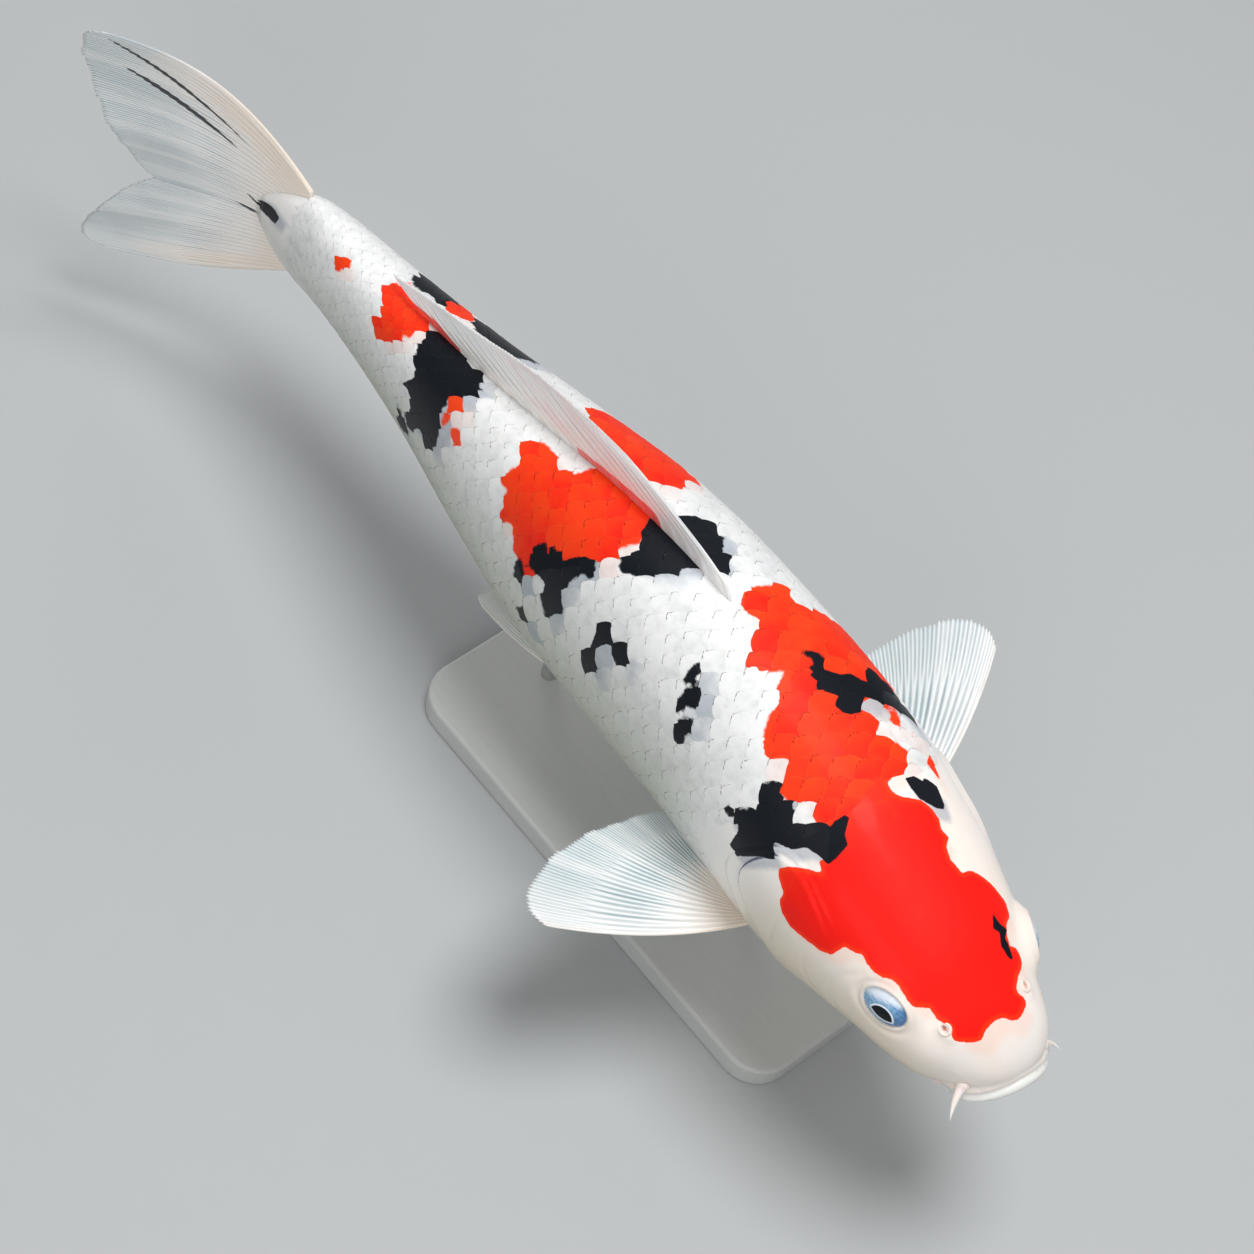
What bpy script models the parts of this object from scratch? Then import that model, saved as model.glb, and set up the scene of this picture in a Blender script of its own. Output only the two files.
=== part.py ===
"""Koi carp: a still, life-size display model of a swimming fish on a two-rod stand.

The body is one loft along a bent midline. A station is a fraction of the standard length, from
0 at the snout to 1 at the root of the tail, and an angle goes round the body from 0 on the
ridge of the back over 90 on the fish's right flank to 180 under the belly. Fins are fans of
rays. The head points to +X, the fish's left is +Y, and the origin is under the stand's base.
"""

import math

import bmesh
import bpy
import numpy as np
from mathutils import Matrix, Vector

# Driving dimensions, in metres.
STANDARD_LENGTH = 0.500
AXIS_HEIGHT = 0.125
GAP = 0.0003
FIN_THICKNESS = 0.0010
BASE_SIZE = (0.240, 0.110, 0.012)
BASE_CORNER = 0.018
BASE_RIM = 0.0015
ROD_RADIUS = 0.0040
ROD_STATIONS = {"front": 0.30, "rear": 0.58}
ROD_BURIED = 0.006

# The midline's heading in degrees, against the station. Above 0 turns the tail to the fish's right.
HEADING = {
    0: -7, 0.05: -8, 0.09: -9.5, 0.14: -8, 0.25: -4.5, 0.42: -2, 0.6: 1, 0.8: -1, 0.9: 3, 1: 18,
    1.1: 30, 1.3: 44,
}
STRAIGHT_STATION = 0.4  # this station lies over the origin
SNOUT_SHIFT = {0: 0.0086, 0.02: 0.0064, 0.05: 0.0016, 0.08: 0}  # the mouth is turned to the left

# Half the width, the ridge and the keel of the body, in metres, against the station.
HALF_WIDTH = {
    0: 0.0262, 0.02: 0.0274, 0.05: 0.0320, 0.1: 0.0400, 0.14: 0.0448, 0.2: 0.0500, 0.27: 0.0512,
    0.35: 0.0505, 0.45: 0.0494, 0.55: 0.0470, 0.66: 0.0395, 0.78: 0.0284, 0.9: 0.0196,
    0.96: 0.0140, 1: 0.0085, 1.03: 0.0045,
}
RIDGE = {
    0: 0.0100, 0.05: 0.0210, 0.1: 0.0325, 0.15: 0.0400, 0.2: 0.0468, 0.28: 0.0575, 0.37: 0.0645,
    0.45: 0.0655, 0.55: 0.0610, 0.66: 0.0490, 0.78: 0.0352, 0.9: 0.0255, 0.96: 0.0265,
    1: 0.0180, 1.03: 0.0050,
}
KEEL = {
    0: -0.0225, 0.05: -0.0280, 0.1: -0.0340, 0.15: -0.0430, 0.2: -0.0500, 0.28: -0.0555,
    0.37: -0.0585, 0.48: -0.0610, 0.58: -0.0590, 0.68: -0.0480, 0.78: -0.0378, 0.9: -0.0322,
    0.96: -0.0318, 1: -0.0250, 1.03: -0.0080,
}
RIDGE_LEAN = {0: 0, 0.25: 0, 0.45: 0.0080, 0.8: 0.0070, 1: 0}  # the back leans to the fish's right
SNOUT_HEIGHT = -0.010
SNOUT_LENGTH = 0.055  # stations over which the snout rounds off
SNOUT_POWER = 2.2
SECTION_POWER = 0.92  # 1 is an ellipse, less is squarer
RING_POINTS = 28

# The body's lengths, as ranges of stations.
SECTIONS = {
    "head": (0.0015, 0.236),
    "trunk_front": (0.236, 0.460),
    "trunk_rear": (0.460, 0.720),
    "tail_stalk": (0.720, 1.030),
}
SNOUT_STATIONS = (0.0015, 0.004, 0.009, 0.016, 0.025, 0.036, 0.05, 0.068, 0.088, 0.11)
STATION_STEP = 0.026

EYE = {
    "station": 0.0965, "side": 0.0343, "height": 0.0090, "radii": (0.0102, 0.0100, 0.0052), "lift": 6,
}
NOSTRIL = {"station": 0.052, "angle": 38, "ring": 0.0027, "wall": 0.0009}
MOUTH = {"back": 0.022, "reach": 0.0225, "half_width": 0.0220, "height": -0.0125, "droop": 0.006}
LIP_RADIUS = 0.0034
LIP_THINNEST = 0.55  # at the corners, as a share of the radius in front
JAW = {"back": 0.046, "last": 0.088, "top": -0.0180, "bottom": -0.060, "half_width": 0.05}
FRONT_BARBEL = {
    "station": 0.018, "side": 0.0220, "height": -0.004, "length": 0.0150, "radius": 0.0014,
    "drift": (0.64, 0.48, -0.44),
}
REAR_BARBEL = {
    "station": 0.040, "side": 0.0170, "height": -0.0225, "length": 0.0200, "radius": 0.0015,
    "drift": (-0.60, -0.12, -0.55),
}
BARBEL_DROOP = 0.22
BARBEL_TAPER = 0.72
GILL = {
    "station": 0.200, "height": -0.0080, "reach": 0.0270, "half_height": 0.0340, "tilt": 0.16,
    "roundness": 0.85, "outside": 0.075,
}
GILL_FLOOR = {0.14: 0.0300, 0.25: 0.0400}  # the cover's inner face, sideways, against the station

# Fins. Edges give the ray ends against the ray's number, from 0 at the first to 1 at the last.
FIN_BURIED = 0.005
DORSAL_ROOT = (0.420, 0.800)
DORSAL_EDGE = {0: 0.428, 0.15: 0.500, 0.5: 0.660, 0.8: 0.785, 1: 0.862}
DORSAL_HEIGHT = {
    0: 0.0010, 0.06: 0.0075, 0.15: 0.0150, 0.3: 0.0205, 0.5: 0.0245, 0.75: 0.0170, 1: 0.0060,
}
DORSAL_SWEEP = 1.2
DORSAL_BOW = 0.0012
CAUDAL_ROOT = 0.975
UPPER_LOBE = {
    "edge": {
        0: (1.204, 0.0660), 0.15: (1.203, 0.0520), 0.4: (1.188, 0.0270), 0.7: (1.163, 0.0020),
        0.88: (1.143, -0.0120), 1: (1.126, -0.0190),
    },
    "root": (0.0280, -0.0030),
    "bulge": 0.014,
}
LOWER_LOBE = {
    "edge": {
        0: (1.126, -0.0200), 0.12: (1.149, -0.0290), 0.45: (1.176, -0.0500), 0.8: (1.190, -0.0700),
        1: (1.180, -0.0765),
    },
    "root": (-0.0036, -0.0290),
    "bulge": -0.010,
}
CAUDAL_WAVE = 0.0016
ANAL_ROOT = (0.772, 0.842)
ANAL_EDGE = {0: (0.850, -0.0555), 0.25: (0.872, -0.0535), 0.65: (0.884, -0.0475), 1: (0.880, -0.0410)}
ANAL_BOW = 0.004

# Paired fins: rays turn from the first to the last angle, 0 pointing ahead and 90 straight out.
ROOT_STEP = 1 / 7  # the first of a ray's seven steps lies under the skin
CUP = 0.004
AS_SHAPED = {"sweep": 0, "raise": 0, "stretch": 1, "full": 0}  # "left" gives the left fin's changes
PECTORAL = {
    "station": 0.260, "root": (0.0405, -0.0350), "root_length": 0.026, "buried": 0.016,
    "slope": 0.17, "first": 109, "last": 187, "bow": 16,
    "length": {
        0: 0.0870, 0.08: 0.0920, 0.25: 0.0840, 0.45: 0.0710, 0.65: 0.0600, 0.85: 0.0530, 1: 0.0450,
    },
    "left": {"sweep": 3, "raise": 0.22, "stretch": 0.98, "full": 0.10},
}
PELVIC = {
    "station": 0.516, "root": (0.0180, -0.0560), "root_length": 0.020, "buried": 0.010,
    "slope": -0.16, "first": 166, "last": 200, "bow": 18,
    "length": {0: 0.0580, 0.12: 0.0635, 0.4: 0.0610, 0.7: 0.0530, 1: 0.0400},
    "left": {"sweep": 0, "raise": 0, "stretch": 1, "full": 0},
}

MATERIALS = {
    "skin": ((0.86, 0.82, 0.78), 0.30),
    "lips": ((0.88, 0.80, 0.76), 0.28),
    "fins": ((0.80, 0.80, 0.80), 0.35),
    "eyes": ((0.30, 0.45, 0.62), 0.08),
    "stand_paint": ((0.62, 0.62, 0.60), 0.45),
    "stand_steel": ((0.60, 0.60, 0.60), 0.25),
}


# ---------------------------------------------------------------- curves and the body's surface
def smooth(knots):
    """A curve through the knots that never overshoots them (monotone cubic)."""
    at = np.array(list(knots), float)
    value = np.array(list(knots.values()), float)
    step = np.diff(at)
    slope = np.diff(value) / step
    tangent = np.zeros_like(value)
    for i in range(1, len(at) - 1):
        if slope[i - 1] * slope[i] > 0:
            before = 2 * step[i] + step[i - 1]
            after = step[i] + 2 * step[i - 1]
            tangent[i] = (before + after) / (before / slope[i - 1] + after / slope[i])
    tangent[0] = 1.5 * slope[0] - 0.5 * tangent[1]
    tangent[-1] = 1.5 * slope[-1] - 0.5 * tangent[-2]

    def curve(x):
        x = np.clip(np.asarray(x, float), at[0], at[-1])
        i = np.clip(np.searchsorted(at, x, side="right") - 1, 0, len(at) - 2)
        u = (x - at[i]) / step[i]
        rise = value[i] * (1 + 2 * u) * (1 - u) ** 2 + value[i + 1] * u * u * (3 - 2 * u)
        return rise + step[i] * u * (1 - u) * (tangent[i] * (1 - u) - tangent[i + 1] * u)

    return curve


heading = smooth(HEADING)
half_width = smooth(HALF_WIDTH)
ridge = smooth(RIDGE)
keel = smooth(KEEL)
ridge_lean = smooth(RIDGE_LEAN)
snout_shift = smooth(SNOUT_SHIFT)


def midline_table():
    """Stations with the midline's x, y and heading, the straight station at x = y = 0."""
    stations = np.linspace(-0.05, 1.35, 1401)
    angle = np.radians(heading(stations))
    middle = (angle[1:] + angle[:-1]) / 2
    step = (stations[1] - stations[0]) * STANDARD_LENGTH
    x = -np.concatenate([[0], np.cumsum(np.cos(middle))]) * step
    y = -np.concatenate([[0], np.cumsum(np.sin(middle))]) * step
    x -= np.interp(STRAIGHT_STATION, stations, x)
    y -= np.interp(STRAIGHT_STATION, stations, y)
    return stations, x, y, angle


MIDLINE = midline_table()


def place(station, side, height):
    """World point of a station, with side to the fish's left and height over the midline."""
    stations, xs, ys, angles = MIDLINE
    x, y, angle = (np.interp(station, stations, row) for row in (xs, ys, angles))
    side = side + snout_shift(station)
    x = x - np.sin(angle) * side
    y = y + np.cos(angle) * side
    return np.stack([x, y, AXIS_HEIGHT + height + 0 * x], -1)


def profiles(station, grow=0.0):
    """Half width, ridge and keel, rounded off at the snout and grown outwards."""
    u = np.clip(np.asarray(station, float) / SNOUT_LENGTH, 0, 1)
    fullness = (1 - (1 - u) ** SNOUT_POWER) ** (1 / SNOUT_POWER)
    wide = half_width(station) * fullness + grow
    top = SNOUT_HEIGHT + (ridge(station) - SNOUT_HEIGHT) * fullness + grow
    bottom = SNOUT_HEIGHT + (keel(station) - SNOUT_HEIGHT) * fullness - grow
    return wide, top, bottom


def lean_at(station, height):
    """How far the back leans sideways at this height."""
    _, top, bottom = profiles(station)
    middle = (top + bottom) / 2
    rise = np.clip((height - middle) / (top - middle), 0, None)
    return -ridge_lean(station) * rise**2


def surface(station, degrees, grow=0.0):
    """World point of the skin at a station and an angle round the body."""
    angle = np.radians(np.asarray(degrees, float))
    wide, top, bottom = profiles(station, grow)
    across = np.sign(np.sin(angle)) * np.abs(np.sin(angle)) ** SECTION_POWER
    upward = np.sign(np.cos(angle)) * np.abs(np.cos(angle)) ** SECTION_POWER
    height = (top + bottom) / 2 + (top - bottom) / 2 * upward
    return place(station + 0 * angle, -wide * across + lean_at(station, height), height)


def outward(station, degrees):
    """Unit normal of the skin."""
    forward = surface(station - 0.004, degrees) - surface(station + 0.004, degrees)
    around = surface(station, degrees + 2) - surface(station, degrees - 2)
    normal = np.cross(forward, around)
    return normal / np.linalg.norm(normal)


# ---------------------------------------------------------------- objects
def collection(name):
    made = bpy.data.collections.new(name)
    bpy.context.scene.collection.children.link(made)
    return made


def material(name):
    colour, roughness = MATERIALS[name]
    made = bpy.data.materials.get(name) or bpy.data.materials.new(name)
    made.use_nodes = True
    shader = made.node_tree.nodes["Principled BSDF"]
    shader.inputs["Base Color"].default_value = (*colour, 1)
    shader.inputs["Roughness"].default_value = roughness
    shader.inputs["Metallic"].default_value = 1.0 if name == "stand_steel" else 0.0
    return made


def add(name, data, look=None):
    """A new object for this mesh: a part with a look, or a cutter without one."""
    obj = bpy.data.objects.new(name, data)
    if look:
        PARTS.objects.link(obj)
        data.materials.append(material(look))
    else:
        CUTTERS.objects.link(obj)
        obj.hide_render = True
        obj.display_type = "WIRE"
    if isinstance(data, bpy.types.Mesh):
        data.shade_smooth()
        data.set_sharp_from_angle(angle=math.radians(40))
    return obj


def mesh_of(points, faces):
    data = bpy.data.meshes.new("shape")
    data.from_pydata([tuple(p) for p in np.reshape(points, (-1, 3)).tolist()], [], faces)
    shape = bmesh.new()
    shape.from_mesh(data)
    bmesh.ops.recalc_face_normals(shape, faces=shape.faces)
    shape.to_mesh(data)
    shape.free()
    return data


def ring_loft(rings):
    """A closed mesh through rings of equally many points, with a flat cap at both ends."""
    count, around = rings.shape[:2]
    faces = []
    for i in range(count - 1):
        for j in range(around):
            k = (j + 1) % around
            a, b = i * around + j, i * around + k
            faces.append([a, b, b + around, a + around])
    faces.append(list(range(around)))
    faces.append([(count - 1) * around + j for j in range(around)])
    return mesh_of(rings, faces)


def body_loft(first, last, grow=0.0):
    """The body between two stations."""
    inner = [s for s in SNOUT_STATIONS if first < s < last]
    start = max([first] + inner)
    steps = max(1, round((last - start) / STATION_STEP))
    stations = ([first] if inner else []) + inner[:-1] + list(np.linspace(start, last, steps + 1))
    angles = np.arange(RING_POINTS) * 360 / RING_POINTS
    return ring_loft(np.array([surface(s, angles, grow) for s in stations]))


def cut(obj, cutter, operation="DIFFERENCE"):
    modifier = obj.modifiers.new(f"{operation.lower()} {cutter.name}", "BOOLEAN")
    modifier.operation = operation
    modifier.solver = "EXACT"
    modifier.object = cutter
    return obj


def tube_mesh(points, radii, smoothness=2):
    """A tapering tube through the points, as a closed mesh."""
    data = bpy.data.curves.new("tube", "CURVE")
    data.dimensions = "3D"
    data.bevel_depth = 1.0
    data.bevel_resolution = smoothness
    data.use_fill_caps = True
    spline = data.splines.new("POLY")
    spline.points.add(len(points) - 1)
    for point, place_, radius in zip(spline.points, points, radii):
        point.co = (*place_, 1)
        point.radius = radius
    guide = bpy.data.objects.new("tube", data)
    bpy.context.scene.collection.objects.link(guide)
    graph = bpy.context.evaluated_depsgraph_get()
    made = bpy.data.meshes.new_from_object(guide.evaluated_get(graph))
    bpy.data.objects.remove(guide)
    shape = bmesh.new()
    shape.from_mesh(made)
    bmesh.ops.remove_doubles(shape, verts=shape.verts, dist=1e-6)
    bmesh.ops.recalc_face_normals(shape, faces=shape.faces)
    shape.to_mesh(made)
    shape.free()
    return made


def facing(point, normal):
    """A matrix at the point whose Z is the normal and whose X runs along the fish."""
    z = Vector(normal).normalized()
    y = z.cross(Vector((1, 0, 0))).normalized()
    turned = Matrix((y.cross(z), y, z)).transposed().to_4x4()
    return Matrix.Translation(Vector(point)) @ turned


# ---------------------------------------------------------------- the body and the head's pieces
def body_sections():
    made = {}
    for name, (first, last) in SECTIONS.items():
        half_gap = GAP / 2 / STANDARD_LENGTH
        near = first if name == "head" else first + half_gap
        far = last if name == "tail_stalk" else last - half_gap
        made[name] = add(name, body_loft(near, far), "skin")
    return made


def ball(name, matrix, radii, look=None):
    """An ellipsoid with these radii along the matrix's axes."""
    shape = bmesh.new()
    bmesh.ops.create_uvsphere(shape, u_segments=18, v_segments=10, radius=1.0)
    shape.transform(matrix @ Matrix.Diagonal((*radii, 1)))
    data = bpy.data.meshes.new(name)
    shape.to_mesh(data)
    shape.free()
    return add(name, data, look)


def eye(side, head):
    """A flattened ball that looks sideways, its outer third out of the head."""
    centre = Vector(place(EYE["station"], side["left"] * EYE["side"], EYE["height"]))
    beside = Vector(place(EYE["station"], side["left"], EYE["height"])) - centre
    normal = beside.normalized() + Vector((0, 0, math.tan(math.radians(EYE["lift"]))))
    matrix = facing(centre, normal)
    ball(f"eye_{side['name']}", matrix, EYE["radii"], "eyes")
    socket = ball(f"socket_{side['name']}", matrix, [r + GAP for r in EYE["radii"]])
    cut(head, socket)


def ring_mesh(matrix, ring, wall):
    """A torus of this ring and wall radius, as a closed mesh."""
    shape = bmesh.new()
    beside = Matrix.Translation((ring, 0, 0)) @ Matrix.Rotation(math.pi / 2, 4, "X")
    bmesh.ops.create_circle(shape, segments=8, radius=wall, matrix=beside)
    around = {"cent": (0, 0, 0), "axis": (0, 0, 1), "angle": math.tau, "steps": 16}
    bmesh.ops.spin(shape, geom=shape.verts[:] + shape.edges[:], **around)
    bmesh.ops.remove_doubles(shape, verts=shape.verts, dist=1e-6)
    bmesh.ops.recalc_face_normals(shape, faces=shape.faces)
    shape.transform(matrix)
    data = bpy.data.meshes.new("ring")
    shape.to_mesh(data)
    shape.free()
    return data


def nostril(side, head):
    """The raised rim of skin round a nostril."""
    where = NOSTRIL["station"], side["sign"] * NOSTRIL["angle"]
    matrix = facing(surface(*where), outward(*where))
    ring, wall = NOSTRIL["ring"], NOSTRIL["wall"]
    add(f"nostril_{side['name']}", ring_mesh(matrix, ring, wall), "lips")
    cut(head, add(f"nostril_seat_{side['name']}", ring_mesh(matrix, ring, wall + GAP)))


def mouth_line(turn):
    """A point of the upper lip, by its turn from the front of the mouth in degrees."""
    angle = math.radians(turn)
    station = MOUTH["back"] - MOUTH["reach"] * math.cos(angle)
    height = MOUTH["height"] - MOUTH["droop"] * abs(math.sin(angle)) ** 1.5
    return place(station, MOUTH["half_width"] * math.sin(angle), height)


def mouth(head):
    """The upper lip, a crescent round the front, and the jaw under it."""
    turns = np.linspace(-90, 90, 19)
    points = [mouth_line(turn) for turn in turns]
    fullness = LIP_THINNEST + (1 - LIP_THINNEST) * np.cos(np.radians(turns))
    radii = LIP_RADIUS * fullness
    add("upper_lip", tube_mesh(points, radii, 3), "lips")
    lip_seat = add("lip_seat", tube_mesh(points, radii + GAP, 3))
    jaw = add("lower_jaw", body_loft(SNOUT_STATIONS[0], JAW["last"]), "skin")
    cut(jaw, jaw_cell("jaw_cell", 0), "INTERSECT")
    cut(head, jaw_cell("jaw_seat", GAP))
    cut(head, lip_seat)
    cut(jaw, lip_seat)
    return jaw


def jaw_cell(name, grow):
    """The block of the head that belongs to the lower jaw."""
    back = JAW["back"] + grow / STANDARD_LENGTH
    wide = JAW["half_width"]
    corners = []
    for height in (JAW["bottom"], JAW["top"] + grow):
        for station, side in ((-0.03, -wide), (-0.03, wide), (back, wide), (back, -wide)):
            corners.append(place(station, side, height))
    return add(name, ring_loft(np.array(corners).reshape(2, 4, 3)))


def barbel(name, look, side, seats):
    """A fleshy feeler that tapers to a point and bends with its drift (ahead, outwards, up)."""
    base = place(look["station"], side["left"] * look["side"], look["height"])
    ahead, out, up = look["drift"]
    drift = np.array([ahead, side["left"] * out, up])
    drift = drift / np.linalg.norm(drift)
    down = np.array([0, 0, -BARBEL_DROOP])
    steps = np.linspace(0, 1, 7)
    points = [base + look["length"] * (t * drift + t * t * down) for t in steps]
    radii = look["radius"] * (1 - BARBEL_TAPER * steps)
    add(f"{name}_{side['name']}", tube_mesh(points, radii), "lips")
    seat = add(f"{name}_seat_{side['name']}", tube_mesh(points, radii + GAP))
    for obj in seats:
        cut(obj, seat)


def gill_outline(turns, side, shrink, outside):
    """The gill cover's rounded outline, on its inner face or out beyond the body."""
    out = np.array([np.cos(turns), np.sin(turns)])
    ahead, up = np.sign(out) * np.abs(out) ** GILL["roundness"]
    station = GILL["station"] + ahead * (GILL["reach"] - shrink) / STANDARD_LENGTH
    height = GILL["height"] + GILL["tilt"] * ahead * GILL["reach"]
    height = height + up * (GILL["half_height"] - shrink)
    floor = np.interp(station, list(GILL_FLOOR), list(GILL_FLOOR.values())) + shrink
    return place(station, side["left"] * (GILL["outside"] if outside else floor), height)


def gill_prism(name, side, shrink):
    """The gill cover's outline, pushed through the side of the head."""
    turns = np.radians(np.linspace(0, 360, 28, endpoint=False))
    rings = [gill_outline(turns, side, shrink, outside) for outside in (False, True)]
    return add(name, ring_loft(np.array(rings)))


def gill_cover(side, sections):
    """The plate over the gills, between the cheek and the shoulder."""
    cover = add(f"gill_cover_{side['name']}", body_loft(0.10, 0.30), "skin")
    cut(cover, gill_prism(f"gill_cell_{side['name']}", side, GAP), "INTERSECT")
    seat = gill_prism(f"gill_seat_{side['name']}", side, 0)
    for name in ("head", "trunk_front"):
        cut(sections[name], seat)


# ---------------------------------------------------------------- fins
def fan(name, points, trimmed_by):
    """A fin from a grid of points (rays by steps along each ray), with its root trimmed."""
    rays, steps = points.shape[:2]
    faces = []
    for i in range(rays - 1):
        for j in range(steps - 1):
            a = i * steps + j
            faces.append([a, a + 1, a + steps + 1, a + steps])
    fin = add(name, mesh_of(points, faces), "fins")
    thick = fin.modifiers.new("thickness", "SOLIDIFY")
    thick.thickness = FIN_THICKNESS
    thick.offset = 0
    return cut(fin, trimmed_by)


def dorsal_point(u, v):
    """A point of the half-folded dorsal fin: u from its first ray to its last, v out along a ray."""
    root = np.interp(u, (0, 1), DORSAL_ROOT)
    station = root + (smooth(DORSAL_EDGE)(u) - root) * v**DORSAL_SWEEP
    top = profiles(station)[1]
    height = top - FIN_BURIED + (FIN_BURIED + smooth(DORSAL_HEIGHT)(u)) * v
    return place(station, lean_at(station, top) - DORSAL_BOW * math.sin(math.pi * v), height)


def caudal_point(u, v, edge, root, bulge):
    """A point of a tail lobe, u from its upper ray to its lower ray and v out along the ray."""
    station, height = (smooth({k: pair[i] for k, pair in edge.items()})(u) for i in (0, 1))
    start = np.interp(u, (0, 1), root)
    outer = 1 - u if bulge > 0 else u
    bow = bulge * outer**1.5 * math.sin(math.pi * v)
    wave = CAUDAL_WAVE * math.sin(2.6 * math.pi * u) * v * v
    return place(CAUDAL_ROOT + (station - CAUDAL_ROOT) * v, wave, start + (height - start) * v + bow)


def paired_point(u, v, fin, left):
    """A point of a paired fin: u from its leading ray to its last, v from under the skin to the tip."""
    out, height = fin["root"]
    own = fin["left"] if left > 0 else AS_SHAPED
    ahead = fin["root_length"] * (0.5 - u)
    across = -fin["buried"]
    lift = 0.0
    if v > 0:
        first = fin["first"] + own["sweep"] - fin["bow"] * (1 - v) * (1 - u)
        polar = math.radians(first + (fin["last"] - fin["first"]) * u)
        length = smooth(fin["length"])(u) * (own["stretch"] + own["full"] * math.sin(math.pi * u))
        reach = length * (v - ROOT_STEP) / (1 - ROOT_STEP)
        ahead = ahead * (1 - v) + reach * math.cos(polar)
        across = reach * math.sin(polar)
        lift = (fin["slope"] + own["raise"]) * across - CUP * math.sin(math.pi * u) * v
    root = place(fin["station"], left * (out + across), height + lift)
    forward = place(fin["station"] - 0.01, 0, 0) - place(fin["station"] + 0.01, 0, 0)
    return root + ahead * forward / np.linalg.norm(forward)


def anal_point(u, v):
    """A point of the anal fin, u from its first ray to its last and v out along a ray."""
    root = np.interp(u, (0, 1), ANAL_ROOT)
    station, height = (smooth({k: pair[i] for k, pair in ANAL_EDGE.items()})(u) for i in (0, 1))
    start = profiles(root)[2] + FIN_BURIED
    bow = -ANAL_BOW * math.sin(math.pi * v) * (1 - u)
    return place(root + (station - root) * v, 0.0, start + (height - start) * v + bow)


def grid(point, rays, steps, **shape):
    """The points of a fin, one row for each ray."""
    along = np.linspace(0, 1, steps)
    return np.array([[point(u, v, **shape) for v in along] for u in np.linspace(0, 1, rays)])


def fins(sides):
    flesh = add("grown_body", body_loft(SNOUT_STATIONS[0], 1.0306, GAP))
    fan("dorsal_fin", grid(dorsal_point, 20, 5), flesh)
    fan("anal_fin", grid(anal_point, 8, 6), flesh)
    fan("caudal_fin_upper", grid(caudal_point, 14, 9, **UPPER_LOBE), flesh)
    fan("caudal_fin_lower", grid(caudal_point, 12, 9, **LOWER_LOBE), flesh)
    for side in sides:
        for name, fin, rays in (("pectoral", PECTORAL, 14), ("pelvic", PELVIC, 9)):
            points = grid(paired_point, rays, 8, fin=fin, left=side["left"])
            fan(f"{name}_fin_{side['name']}", points, flesh)
    return flesh


# ---------------------------------------------------------------- the stand
def from_shape(name, shape, look):
    data = bpy.data.meshes.new(name)
    shape.to_mesh(data)
    shape.free()
    return add(name, data, look)


def stand_base():
    """A plate with rounded corners and an eased upper rim."""
    height = BASE_SIZE[2]
    shape = bmesh.new()
    sized = Matrix.Translation((0, 0, height / 2)) @ Matrix.Diagonal((*BASE_SIZE, 1))
    bmesh.ops.create_cube(shape, size=1.0, matrix=sized)
    rounded = {"affect": "EDGES", "profile": 0.5}
    upright = [e for e in shape.edges if abs(e.verts[0].co.z - e.verts[1].co.z) > height / 2]
    bmesh.ops.bevel(shape, geom=upright, offset=BASE_CORNER, segments=6, **rounded)
    rim = [e for e in shape.edges if min(v.co.z for v in e.verts) > height - 1e-6]
    bmesh.ops.bevel(shape, geom=rim, offset=BASE_RIM, segments=2, **rounded)
    from_shape("stand_base", shape, "stand_paint")


def stand_rod(name, station, flesh):
    """An upright rod from the plate to the belly, its end cut to the belly's shape."""
    x, y, _ = place(station, 0, 0)
    top = AXIS_HEIGHT + keel(station) + ROD_BURIED
    bottom = BASE_SIZE[2] + GAP
    size = {"radius1": ROD_RADIUS, "radius2": ROD_RADIUS, "depth": top - bottom}
    shape = bmesh.new()
    middle = Matrix.Translation((x, y, (top + bottom) / 2))
    bmesh.ops.create_cone(shape, cap_ends=True, segments=20, matrix=middle, **size)
    cut(from_shape(f"stand_rod_{name}", shape, "stand_steel"), flesh)


def main():
    sides = (
        {"name": "right", "sign": 1, "left": -1},
        {"name": "left", "sign": -1, "left": 1},
    )
    sections = body_sections()
    head = sections["head"]
    jaw = mouth(head)
    for side in sides:
        gill_cover(side, sections)
        eye(side, head)
        nostril(side, head)
        barbel("barbel_front", FRONT_BARBEL, side, [head])
        barbel("barbel_rear", REAR_BARBEL, side, [head, jaw])
    flesh = fins(sides)
    stand_base()
    for name, station in ROD_STATIONS.items():
        stand_rod(name, station, flesh)


for old in list(bpy.data.objects):
    bpy.data.objects.remove(old)
PARTS = collection("koi_carp")
CUTTERS = collection("cutters")
main()
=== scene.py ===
# %% [markdown]
# # A koi carp on a display stand
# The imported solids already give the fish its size, its pose and its weight. This lesson dresses
# them: one skin over the whole body, a coat of separate scales, finely rayed fins, wet eyes and
# a soft studio. The frame comes first, because every piece is measured from it.

# %% The frame
import math

import bpy
import numpy as np
from mathutils import Matrix, Vector


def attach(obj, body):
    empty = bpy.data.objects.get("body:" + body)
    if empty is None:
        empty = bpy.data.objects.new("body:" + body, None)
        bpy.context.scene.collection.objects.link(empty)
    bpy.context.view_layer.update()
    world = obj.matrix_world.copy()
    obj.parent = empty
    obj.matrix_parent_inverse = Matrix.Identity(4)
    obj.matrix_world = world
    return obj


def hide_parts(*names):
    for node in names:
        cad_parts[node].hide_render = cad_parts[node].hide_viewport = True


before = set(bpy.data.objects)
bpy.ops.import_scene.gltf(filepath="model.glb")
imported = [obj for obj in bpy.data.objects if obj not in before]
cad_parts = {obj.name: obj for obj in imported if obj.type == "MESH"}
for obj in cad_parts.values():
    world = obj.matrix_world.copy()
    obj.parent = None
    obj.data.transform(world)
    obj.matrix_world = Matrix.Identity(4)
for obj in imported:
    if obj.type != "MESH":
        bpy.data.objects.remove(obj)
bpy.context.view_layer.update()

MM = 0.001

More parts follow.
